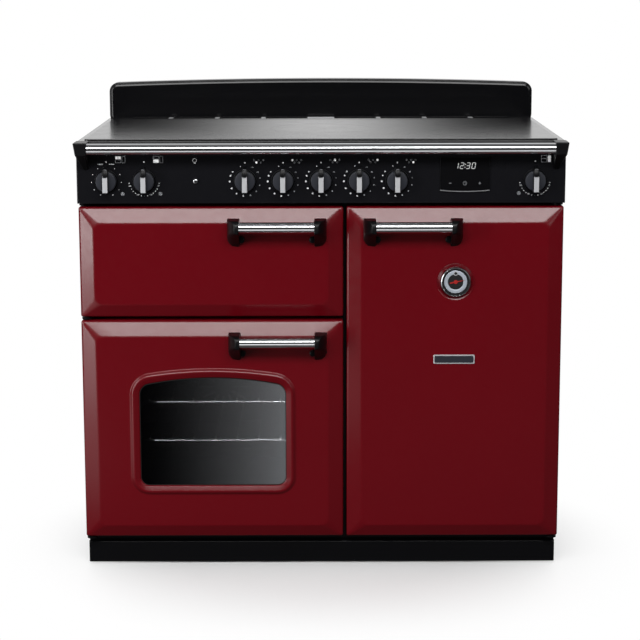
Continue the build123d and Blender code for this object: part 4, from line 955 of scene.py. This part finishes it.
class COOKER_OT_hob(bpy.types.Operator):
    """Black-rimmed glass hob with zone marks, the vent trim and the rear upstand"""
    bl_idname = "cooker.hob"
    bl_label = "Hob"

    def execute(self, context):
        # Upper edge of a slab: mm in from the side, and mm below the top
        self.slab("hob_rim", "hob_tray", 6 * MM, ((0, 2.2), (0.3, 1.0), (1.0, 0.3), (2.2, 0), (30, 0)),
                  "enamel_black", "steel_trim")
        self.slab("hob_plate", "hob_glass", 8 * MM, ((0, 1.6), (0.3, 0.6), (1.0, 0.1), (2.0, 0), (4.0, 0)),
                  "glass_ceramic", "ceramic_glass")
        bm = bmesh.new()
        middle = middle_of("hob_glass").y
        # Place across, place in depth and radius of each zone, in mm
        zones = ((-330, 105, 80), (-330, -105, 105), (0, 0, 110), (330, 105, 80), (330, -105, 105))
        line = 1.2 * MM
        for x, dy, r in zones:
            centre = (x * MM, middle + dy * MM)
            band(bm, *centre, r * MM - line, r * MM, 0, steps=72)
            for angle in (0, 90, 180, 270):
                stroke(bm, on_ring(*centre, 6 * MM, angle), on_ring(*centre, 12 * MM, angle), line, 0)
        for v in bm.verts:
            v.co = (v.co.x, v.co.z, HOB_TOP + 0.12 * MM)
        put(bm, "zone_marks", BODY, ["ink_grey"], outward=False)
        self.vent()
        self.upstand()
        coat("induction_coils", "copper")
        return {"FINISHED"}

    def slab(self, piece, source, corner, edge, finish, slot):
        """Flat plate in the place of a frame node, with a rounded upper edge."""
        low, high = lo_hi(source)
        shape = [(0, low.z)] + [(i, high.z - down * MM) for i, down in edge]
        bm = bmesh.new()
        loops = [loop_rect(low.x + i * MM, high.x - i * MM, low.y + i * MM, high.y - i * MM, corner, z)
                 for i, z in shape]
        bridge(bm, [lay(loop) for loop in loops], True, True)
        put(bm, piece, BODY, [finish], [source])

    def vent(self):
        """Slotted vent trim with grey ribs over a fine grille."""
        low, high = lo_hi("vent_trim")
        half, rim, rib = 435 * MM, 17 * MM, 5 * MM
        slot0, slot1 = low.y + rim, high.y - rim
        # A wide rib in the middle, and three narrow ones at each side
        ribs = [(-31 * MM, 31 * MM)]
        for i in range(3):
            x = (133 + 107 * i) * MM
            ribs += [(x - rib, x + rib), (-x - rib, -x + rib)]
        bm = bmesh.new()
        for y0, y1 in ((low.y, slot0), (slot1, high.y)):
            brick(bm, (low.x, y0, low.z), (high.x, y1, high.z))
        for x0, x1 in ((low.x, -half), (half, high.x)):
            brick(bm, (x0, slot0, low.z), (x1, slot1, high.z))
        put(bm, "vent_frame", BODY, ["enamel_black"], ["vent_trim"], bevel=0.8 * MM)
        bm = bmesh.new()
        for x0, x1 in ribs:
            brick(bm, (x0, slot0, low.z), (x1, slot1, high.z - 0.3 * MM))
        put(bm, "vent_ribs", BODY, ["steel_blasted"], bevel=0.8 * MM)
        bm = bmesh.new()
        pitch = 5 * MM
        for i in range(int(2 * half / pitch)):
            x = -half + (i + 0.5) * pitch
            brick(bm, (x - 0.7 * MM, slot0, low.z - 3.5 * MM), (x + 0.7 * MM, slot1, low.z - 1.5 * MM))
        put(bm, "vent_grille", BODY, ["abs_black"])

    def upstand(self):
        """Gloss upstand with an arched top and a raised field that a narrow bevel borders."""
        low, high = lo_hi("rear_upstand")
        rise, corner = 9 * MM, 20 * MM
        # Mm in from the edge, and depth
        shape = [(0, high.y), (0, low.y + 4.4 * MM), (0.4, low.y + 2.8 * MM), (1.4, low.y + 1.8 * MM),
                 (3.0, low.y + 1.4 * MM), (4.6, low.y + 1.4 * MM), (5.0, low.y + 1.3 * MM),
                 (8.0, low.y + 0.05 * MM), (8.5, low.y), (13.0, low.y)]
        bm = bmesh.new()
        loops = [loop_rect(low.x + i * MM, high.x - i * MM, low.z - 12 * MM + i * MM, high.z - rise - i * MM,
                           corner - min(i, 12) * MM, y, rise, turn=8, head=40) for i, y in shape]
        bridge(bm, loops, True, True)
        put(bm, "upstand", BODY, ["enamel_black"], ["rear_upstand"], sharp=45)


class COOKER_OT_gauge(bpy.types.Operator):
    """Dial thermometer with its chrome bezel, and the bare plate below it"""
    bl_idname = "cooker.gauge"
    bl_label = "Thermometer"

    def execute(self, context):
        x, _, z = middle_of("gauge_housing")
        front = lo_hi("gauge_housing")[0].y
        dial = front + 6 * MM
        bm = bmesh.new()
        turned(bm, [(31.0 * MM, FACE + 3 * MM), (31.5 * MM, FACE + 2 * MM), (31.5 * MM, front + 3.5 * MM),
                    (30.9 * MM, front + 1.8 * MM), (29.9 * MM, front + 0.6 * MM), (28.8 * MM, front),
                    (28.2 * MM, front + 0.2 * MM)], (x, 0, z), steps=72, mat=0, start=False, end=False)
        # The bezel's inner wall, in matt black as a painted dark reflection in place of chrome, closes on the
        # dial
        turned(bm, [(28.2 * MM, front + 0.2 * MM), (27.4 * MM, front + 1.0 * MM), (25.4 * MM, dial)],
               (x, 0, z), steps=72, mat=1, start=False)
        turned(bm, [(23.5 * MM, dial + 0.2 * MM), (23.5 * MM, dial - 0.5 * MM), (23.1 * MM, dial - 0.7 * MM),
                    (16.4 * MM, dial - 0.7 * MM), (16 * MM, dial - 0.5 * MM), (16 * MM, dial + 0.2 * MM)],
               (x, 0, z), steps=72, mat=2, start=False, end=False)
        disc(bm, x, z + 17.5 * MM, 4.4 * MM, dial - 0.8 * MM, 28, 3)
        disc(bm, x, z + 17.5 * MM, 3.0 * MM, dial - 0.9 * MM, 28, 1)
        turned(bm, [(1.4 * MM, dial), (1.4 * MM, dial - 2.7 * MM), (0.9 * MM, dial - 3.1 * MM)], (x, 0, z),
               steps=20, mat=4)
        put(bm, "gauge_case", "tall_door", ["chrome_turned", "dial_black_and_reflection", "anodised", "ink", "needle_red"],
            ["gauge_housing"], outward=False)
        coat("gauge_glass", "lens")
        coat("gauge_needle", "needle_red")
        # Bare plate: a brushed frame and a painted field, as mm in from the edge and mm proud of the door
        middle, half = Vector((x - 1.5 * MM, 0, z - 162 * MM)), Vector((42.5 * MM, 0, 9.6 * MM))
        plate = ((((0, 0), (0, 1.2), (0.6, 1.8), (2.4, 1.8)), 2.5 * MM, False),
                 (((2.4, 1.8), (2.7, 1.5), (3.4, 1.5)), 2.0 * MM, True))
        bm = bmesh.new()
        for mat, (shape, corner, closed) in enumerate(plate):
            loops = [inset(middle - half, middle + half, i, corner, FACE - proud * MM) for i, proud in shape]
            bridge(bm, loops, end=closed, mat=mat)
        put(bm, "bare_plate", "tall_door", ["steel_insert", "knob_disc"])
        return {"FINISHED"}


class COOKER_OT_interior(bpy.types.Operator):
    """Enamelled ovens with round-wire shelves and racks, fans, elements and lamp"""
    bl_idname = "cooker.interior"
    bl_label = "Ovens"

    def execute(self, context):
        coats = {"grill_cavity": "enamel_oven", "main_oven_cavity": "enamel_oven",
                 "tall_oven_cavity": "enamel_oven", "oven_seals": "seal", "fan_baffles": "enamel_oven",
                 "fan_motors": "zinc", "heating_elements": "element", "grill_pan": "enamel_oven",
                 "oven_lamp": "clear", "main_fan_wheel": "fan_steel", "tall_fan_wheel": "fan_steel"}
        for name, key in coats.items():
            coat(name, key)
        low, high = lo_hi("oven_shelves")
        clear = 8.5 * MM  # between a cavity's wall and the middle of a shelf's side rod
        shelves, racks = bmesh.new(), bmesh.new()
        for cavity, levels, count in (("main_oven_cavity", (1, 2), 4), ("tall_oven_cavity", (0, 2, 3, 5), 6)):
            foot, head = lo_hi(cavity)
            x0, x1, z0 = foot.x + CAVITY_WALL, head.x - CAVITY_WALL, foot.z + SHELF_FOOT
            for level in levels:
                self.shelf(shelves, x0 + clear, x1 - clear, low.y, high.y, z0 + level * SHELF_PITCH)
            for wall, side in ((x0, 1), (x1, -1)):
                self.rack(racks, wall, side, z0, count, low.y, high.y)
        # The racks and all but the shelves' fronts are the wire in painted shade
        put(shelves, "shelf_wires", BODY, ["wire_dark", "wire", "wire_end"], ["oven_shelves"])
        put(racks, "rack_wires", BODY, ["wire_dark"], ["oven_side_racks"])
        return {"FINISHED"}

    def shelf(self, bm, x0, x1, y0, y1, z):
        """Round-wire shelf: a frame, a middle rod and thin wires across it; its front is bright, the rest in
        painted shade.
        """
        r, thin, bright, pitch = ROD, 2.2 * MM, 6 * MM, 46 * MM
        for x in (x0, x1):
            rod(bm, (x, y0, z + r), (x, y1, z + r), r)
        for y in (y0 + r, (y0 + y1) / 2, y1 - r):
            # The front rod is the bright wire; the other rods are the wire in painted shade
            rod(bm, (x0, y, z + r), (x1, y, z + r), r, 14, int(y == y0 + r))
        count = int((x1 - x0 - 2 * r) // pitch)
        for i in range(count):
            x = (x0 + x1) / 2 + (i - (count - 1) / 2) * pitch
            # Each thin wire's end is near-white, a painted highlight
            turned(bm, [(thin, y0 + bright), (thin, y0 + 1.2 * MM), (thin * 0.8, y0 + 0.5 * MM),
                        (thin * 0.4, y0)], (x, 0, z + 2 * r), steps=12, mat=2)
            rod(bm, (x, y0 + bright, z + 2 * r), (x, y1, z + 2 * r), thin, 8)

    def rack(self, bm, wall, side, z0, count, y0, y1):
        """Two posts on the wall and a runner at each level."""
        x, end = wall + side * ROD, 27 * MM
        for y in (y0 + end, y1 - end):
            rod(bm, (x, y, z0 - 10 * MM), (x, y, z0 + (count - 1) * SHELF_PITCH + 5 * MM), ROD)
        for i in range(count):
            z = z0 + i * SHELF_PITCH - ROD
            rod(bm, (x + side * 2 * ROD, y0, z), (x + side * 2 * ROD, y1, z), ROD)


class COOKER_OT_carcass(bpy.types.Operator):
    """Sides, back, base, plinth, feet, rollers and their screws"""
    bl_idname = "cooker.carcass"
    bl_label = "Carcass"

    def execute(self, context):
        coats = {"base_tray": "zinc", "side_panels": "powder_coat", "back_panel": "zinc",
                 "front_frame": "enamel_black", "levelling_feet": "zinc", "terminal_box": "abs_black",
                 "hinge_brackets": "abs_black", "roller_left": "nylon", "roller_right": "nylon"}
        for name, key in coats.items():
            coat(name, key)
        low, high = lo_hi("plinth")
        bm = bmesh.new()
        # Mm in from the sides and foot, mm down from the top, and depth
        shape = [(0, 0, high.y), (0, 0, low.y + 2.8 * MM), (0.3, 0.3, low.y + 2.5 * MM),
                 (0.45, 0.5, low.y + 2.3 * MM), (1.4, 2.3, low.y + 0.4 * MM), (1.7, 2.8, low.y + 0.1 * MM),
                 (2.4, 3.8, low.y), (6, 9, low.y)]
        bridge(bm, [inset(low, high, i, 1.5 * MM, y, j) for i, j, y in shape], end=True)
        put(bm, "plinth_cover", BODY, ["enamel_black"], ["plinth"])
        low, high = lo_hi("back_panel")
        bm = bmesh.new()
        across, up, corner, edge = 6, 4, 20 * MM, 12 * MM
        for i in range(across):
            x = low.x + corner + (high.x - low.x - 2 * corner) * i / (across - 1)
            for z in (low.z + edge, high.z - edge):
                screw(bm, x, high.y, z)
        for i in range(1, up):
            for x in (low.x + edge, high.x - edge):
                screw(bm, x, high.y, low.z + (high.z - low.z) * i / up)
        put(bm, "back_screws", BODY, ["fan_steel"])
        return {"FINISHED"}


def screw(bm, x, y, z):
    """Pan-head screw, its cross drawn as two low bars."""
    turned(bm, [(4.2 * MM, y - 0.2 * MM), (4.2 * MM, y + 0.8 * MM), (3.4 * MM, y + 1.6 * MM),
                (2.0 * MM, y + 2.0 * MM)], (x, 0, z), steps=20)
    for wide, tall in ((2.4, 0.5), (0.5, 2.4)):
        brick(bm, (x - wide * MM, y + 1.2 * MM, z - tall * MM), (x + wide * MM, y + 1.9 * MM, z + tall * MM))


class COOKER_OT_stage(bpy.types.Operator):
    """Pale floor, soft studio light, white background and the camera"""
    bl_idname = "cooker.stage"
    bl_label = "Stage"

    def execute(self, context):
        self.floor()
        self.world(context.scene)
        self.lamps()
        self.camera(context.scene)
        return {"FINISHED"}

    def floor(self):
        """Wide pale floor that keeps the shadow; mirrors show it dim, with a painted pool of light beside the
        key light.
        """
        made, tree = blank("painted studio floor")
        where = node(tree, "ShaderNodeTexCoord")
        cloud = node(tree, "ShaderNodeTexNoise", {"Vector": where.outputs["Object"], "Scale": per_mm(900)})
        tint = node(tree, "ShaderNodeMix", {"Factor": cloud.outputs["Fac"], "A": linear("#F0F0F0"),
                                            "B": linear("#F4F4F4")}, data_type="RGBA")
        path = node(tree, "ShaderNodeLightPath")
        tone = node(tree, "ShaderNodeMix", {"Factor": path.outputs["Is Camera Ray"], "A": linear("#2E2E2E"),
                                            "B": tint.outputs["Result"]}, data_type="RGBA")
        shader = node(tree, "ShaderNodeBsdfPrincipled", {"Base Color": tone.outputs["Result"],
                                                         "Roughness": 0.75, "Specular IOR Level": 0.1})
        # To the camera it turns pure white outside an oval round the cooker
        plan = node(tree, "ShaderNodeVectorMath",
                    {0: where.outputs["Object"], 1: (1.15, 1.3, 1.0), 2: (0, 0.2, 0)},
                    operation="MULTIPLY_ADD")
        span = node(tree, "ShaderNodeVectorMath", {0: plan.outputs["Vector"]}, operation="LENGTH")
        clear = node(tree, "ShaderNodeMapRange", {"Value": span.outputs["Value"], "From Min": 0.3,
                                                  "From Max": 0.85, "To Min": 0.0, "To Max": 1.0}, **SMOOTH)
        # In mirrors it fades outwards, with a painted pool of white light beside the key light
        away = node(tree, "ShaderNodeVectorMath", {0: where.outputs["Object"], 1: (0, -0.2, 0)},
                    operation="DISTANCE")
        near = node(tree, "ShaderNodeMapRange", {"Value": away.outputs["Value"], "From Min": 1.7,
                                                 "From Max": 3.2, "To Min": 0.05, "To Max": 0.025}, **SMOOTH)
        beside = node(tree, "ShaderNodeVectorMath", {0: where.outputs["Object"], 1: (-1.5, -1.0, 0)},
                      operation="DISTANCE")
        painted_pool = node(tree, "ShaderNodeMapRange", {"Value": beside.outputs["Value"], "From Min": 0.4,
                                                 "From Max": 1.1, "To Min": 1.0, "To Max": 0.0}, **SMOOTH)
        bright = node(tree, "ShaderNodeMath", {0: near.outputs["Result"], 1: painted_pool.outputs["Result"]},
                      operation="MAXIMUM")
        mirrored = node(tree, "ShaderNodeMath", {0: path.outputs["Is Glossy Ray"],
                                                 1: path.outputs["Is Transmission Ray"]}, operation="MAXIMUM")
        dimmed = node(tree, "ShaderNodeMath", {0: mirrored.outputs["Value"], 1: bright.outputs["Value"]},
                      operation="MULTIPLY")
        white = node(tree, "ShaderNodeEmission", {"Color": linear("#FFFFFF"), "Strength": 1.0})
        share = node(tree, "ShaderNodeMath", {0: path.outputs["Is Camera Ray"], 1: clear.outputs["Result"],
                                              2: dimmed.outputs["Value"]}, operation="MULTIPLY_ADD")
        both = node(tree, "ShaderNodeMixShader", {"Fac": share.outputs["Value"], 1: shader.outputs["BSDF"],
                                                  2: white.outputs["Emission"]})
        node(tree, "ShaderNodeOutputMaterial", {"Surface": both.outputs["Shader"]})
        bm = bmesh.new()
        side, strip, rows = 90.0, 6.0, []
        for y in (-side, -strip, strip, side):
            rows.append([bm.verts.new((x, y, 0)) for x in (-side, side)])
        for a, b in zip(rows, rows[1:]):
            bm.faces.new((a[0], a[1], b[1], b[0]))
        mesh = as_mesh(bm, "floor", outward=False)
        mesh.materials.append(made)
        floor = bpy.data.objects.new("floor", mesh)
        bpy.context.scene.collection.objects.link(floor)

    def world(self, scene):
        """White to the camera, and behind the cooker to mirrors too; dim in front, and for gloss above."""
        world = bpy.data.worlds.new("studio")
        scene.world = world
        world.use_nodes = True
        tree = world.node_tree
        tree.nodes.clear()
        where = node(tree, "ShaderNodeTexCoord")
        axes = node(tree, "ShaderNodeSeparateXYZ", {"Vector": where.outputs["Generated"]})
        rear = node(tree, "ShaderNodeMapRange", {"Value": axes.outputs["Y"], "From Min": -0.9,
                                                 "From Max": 0.7, "To Min": 0.05, "To Max": 0.6}, **SMOOTH)
        above = node(tree, "ShaderNodeMapRange", {"Value": axes.outputs["Z"], "From Min": 0.1,
                                                  "From Max": 0.9, "To Min": 0.0, "To Max": 0.25}, **SMOOTH)
        both = node(tree, "ShaderNodeMath", {0: rear.outputs["Result"], 1: above.outputs["Result"]},
                    operation="ADD")
        path = node(tree, "ShaderNodeLightPath")
        zenith = node(tree, "ShaderNodeMapRange", {"Value": axes.outputs["Z"], "From Min": 0.5,
                                                   "From Max": 0.85, "To Min": 1.0, "To Max": 0.3}, **SMOOTH)
        dim = node(tree, "ShaderNodeMix", {"Factor": path.outputs["Is Glossy Ray"], "A": 1.0,
                                           "B": zenith.outputs["Result"]}, data_type="FLOAT")
        level = node(tree, "ShaderNodeMath", {0: both.outputs["Value"], 1: dim.outputs["Result"]},
                     operation="MULTIPLY")
        mirrored = node(tree, "ShaderNodeMath", {0: path.outputs["Is Glossy Ray"],
                                                 1: path.outputs["Is Transmission Ray"]}, operation="MAXIMUM")
        drop = node(tree, "ShaderNodeMapRange",
                    {"Value": axes.outputs["Y"], "From Min": 0.35, "From Max": 0.85}, **SMOOTH)
        behind = node(tree, "ShaderNodeMath", {0: mirrored.outputs["Value"], 1: drop.outputs["Result"]},
                      operation="MULTIPLY")
        white = node(tree, "ShaderNodeMath", {0: path.outputs["Is Camera Ray"], 1: behind.outputs["Value"]},
                     operation="MAXIMUM")
        seen = node(tree, "ShaderNodeMix", {"Factor": white.outputs["Value"], "A": level.outputs["Value"],
                                            "B": 1.0}, data_type="FLOAT")
        sky = node(tree, "ShaderNodeBackground",
                   {"Color": linear("#FFFFFF"), "Strength": seen.outputs["Result"]})
        node(tree, "ShaderNodeOutputWorld", {"Surface": sky.outputs["Background"]})

    def lamps(self):
        """Soft boxes left, right, above and behind, and cards for borders, hob, panel, bars and shelves."""
        # Right of the middle, front and height of the lower shelf
        low, high = lo_hi("main_oven_cavity")
        x, y = (low.x + high.x) / 2 + 30 * MM, lo_hi("oven_shelves")[0].y
        z = low.z + SHELF_FOOT + SHELF_PITCH + ROD
        # Name, place, target, size and watts
        rows = [("key", (-3.2, -2.4, 1.15), (0, -0.2, 0.6), (0.9, 2.3), 56),
                ("fill", (3.2, -3.6, 1.9), (0, -0.2, 0.5), (1.2, 1.6), 16),
                ("overhead", (0, -3.3, 2.75), (0, -0.25, 0.6), (3.6, 1.0), 118),
                ("back", (0, 1.2, 3.6), (0, 0, 0.4), (3.0, 1.6), 45),
                ("corner", (-1.9, -2.6, 1.6), (0, -0.3, 0.7), (1.4, 0.6), 4.0),
                ("low card", (-1.55, -1.2, 0.33), (-0.46, FACE, 0.45), (0.5, 0.6), 1.8),
                ("hob card", (0, 0.288, 0.945), (0, -1.0, 0.9), (0.94, 0.07), 0.2),
                ("panel card", (0, -1.7, 0.7), (0, FACE, 0.87), (1.0, 0.1), 6),
                ("bar card", (0, -1.0, 0.1), (0, FACE, 0.8), (1.4, 0.5), 2.2)]
        rows += [("shelf card", (x, y - 10 * MM, level - 8 * MM), (x, y, level + 2 * MM), (0.32, 0.004), 0.05)
                 for level in (z, z + SHELF_PITCH)]
        # Two cards light only these pieces
        lit_by = {"bar card": [door + "_bar" for door in DOORS] + ["rail"], "panel card": ["panel_print"]}
        for name, place, target, size, watts in rows:
            lamp = bpy.data.lights.new(name, "AREA")
            lamp.shape = "RECTANGLE"
            lamp.size, lamp.size_y = size
            lamp.energy = watts
            lamp.spread = math.radians(70 if name == "shelf card" else 180)
            if name == "hob card":
                self.fade(lamp)
            holder = bpy.data.objects.new(name, lamp)
            holder.location = place
            aim = Vector(target) - Vector(place)
            holder.rotation_euler = aim.to_track_quat("-Z", "Y").to_euler()
            holder.visible_camera = False
            holder.visible_glossy = name != "back"
            if name in lit_by:
                lit_only = bpy.data.collections.new(name)
                for piece in lit_by[name]:
                    lit_only.objects.link(bpy.data.objects[piece])
                holder.light_linking.receiver_collection = lit_only
            bpy.context.scene.collection.objects.link(holder)

    def fade(self, lamp):
        """Let a card's light fall off from its middle to its two ends."""
        lamp.use_nodes = True
        tree = lamp.node_tree
        tree.nodes.clear()
        place = node(tree, "ShaderNodeNewGeometry")
        along = node(tree, "ShaderNodeSeparateXYZ", {"Vector": place.outputs["Parametric"]})
        off = node(tree, "ShaderNodeMath", {0: along.outputs["X"], 1: 0.5}, operation="SUBTRACT")
        square = node(tree, "ShaderNodeMath", {0: off.outputs["Value"], 1: off.outputs["Value"]},
                      operation="MULTIPLY")
        # How steeply the bell curve falls
        steep = node(tree, "ShaderNodeMath", {0: square.outputs["Value"], 1: -17.0}, operation="MULTIPLY")
        level = node(tree, "ShaderNodeMath", {0: steep.outputs["Value"]}, operation="EXPONENT")
        glow = node(tree, "ShaderNodeEmission",
                    {"Color": linear("#FFFFFF"), "Strength": level.outputs["Value"]})
        node(tree, "ShaderNodeOutputLight", {"Surface": glow.outputs["Emission"]})

    def camera(self, scene):
        """Long lens at chest height, tipped down a little, as the photograph was taken."""
        lens = bpy.data.cameras.new("camera")
        lens.sensor_width, lens.lens = 36.0, 98.46
        lens.shift_y = -0.085
        lens.clip_end = 200
        holder = bpy.data.objects.new("camera", lens)
        holder.location = (-0.0025, -3.8, 1.2413)
        tip, roll = math.radians(9.578), math.radians(-0.117)
        turn = Matrix.Rotation(math.pi / 2 - tip, 3, "X") @ Matrix.Rotation(roll, 3, "Z")
        holder.rotation_euler = turn.to_euler()
        scene.collection.objects.link(holder)
        scene.camera = holder
        scene.view_settings.view_transform = "Standard"


STEPS = ("doors", "handles", "panel", "knobs", "clock", "towel_rail", "hob", "gauge", "interior", "carcass",
         "stage")


class COOKER_PT_panel(bpy.types.Panel):
    """Sizes, finishes and steps of the cooker"""
    bl_idname = "COOKER_PT_panel"
    bl_label = "Induction Range Cooker"
    bl_space_type = "VIEW_3D"
    bl_region_type = "UI"
    bl_category = "Cooker"

    def draw(self, context):
        for group in (context.scene.cooker_finish, context.scene.cooker_sizes):
            box = self.layout.box()
            for key in group.__annotations__:
                box.prop(group, key)
        for step in STEPS:
            self.layout.operator("cooker." + step)


CLASSES = (CookerFinish, CookerSizes, COOKER_OT_doors, COOKER_OT_handles, COOKER_OT_panel, COOKER_OT_knobs,
           COOKER_OT_clock, COOKER_OT_towel_rail, COOKER_OT_hob, COOKER_OT_gauge, COOKER_OT_interior,
           COOKER_OT_carcass, COOKER_OT_stage, COOKER_PT_panel)


def register():
    """Add the classes and the scene's two groups of settings."""
    for kind in CLASSES:
        bpy.utils.register_class(kind)
    bpy.types.Scene.cooker_finish = bpy.props.PointerProperty(type=CookerFinish)
    bpy.types.Scene.cooker_sizes = bpy.props.PointerProperty(type=CookerSizes)


def unregister():
    """Take them away again."""
    del bpy.types.Scene.cooker_sizes
    del bpy.types.Scene.cooker_finish
    for kind in reversed(CLASSES):
        bpy.utils.unregister_class(kind)


def main():
    register()
    for step in STEPS:
        getattr(bpy.ops.cooker, step)()


if __name__ == "__main__":
    main()
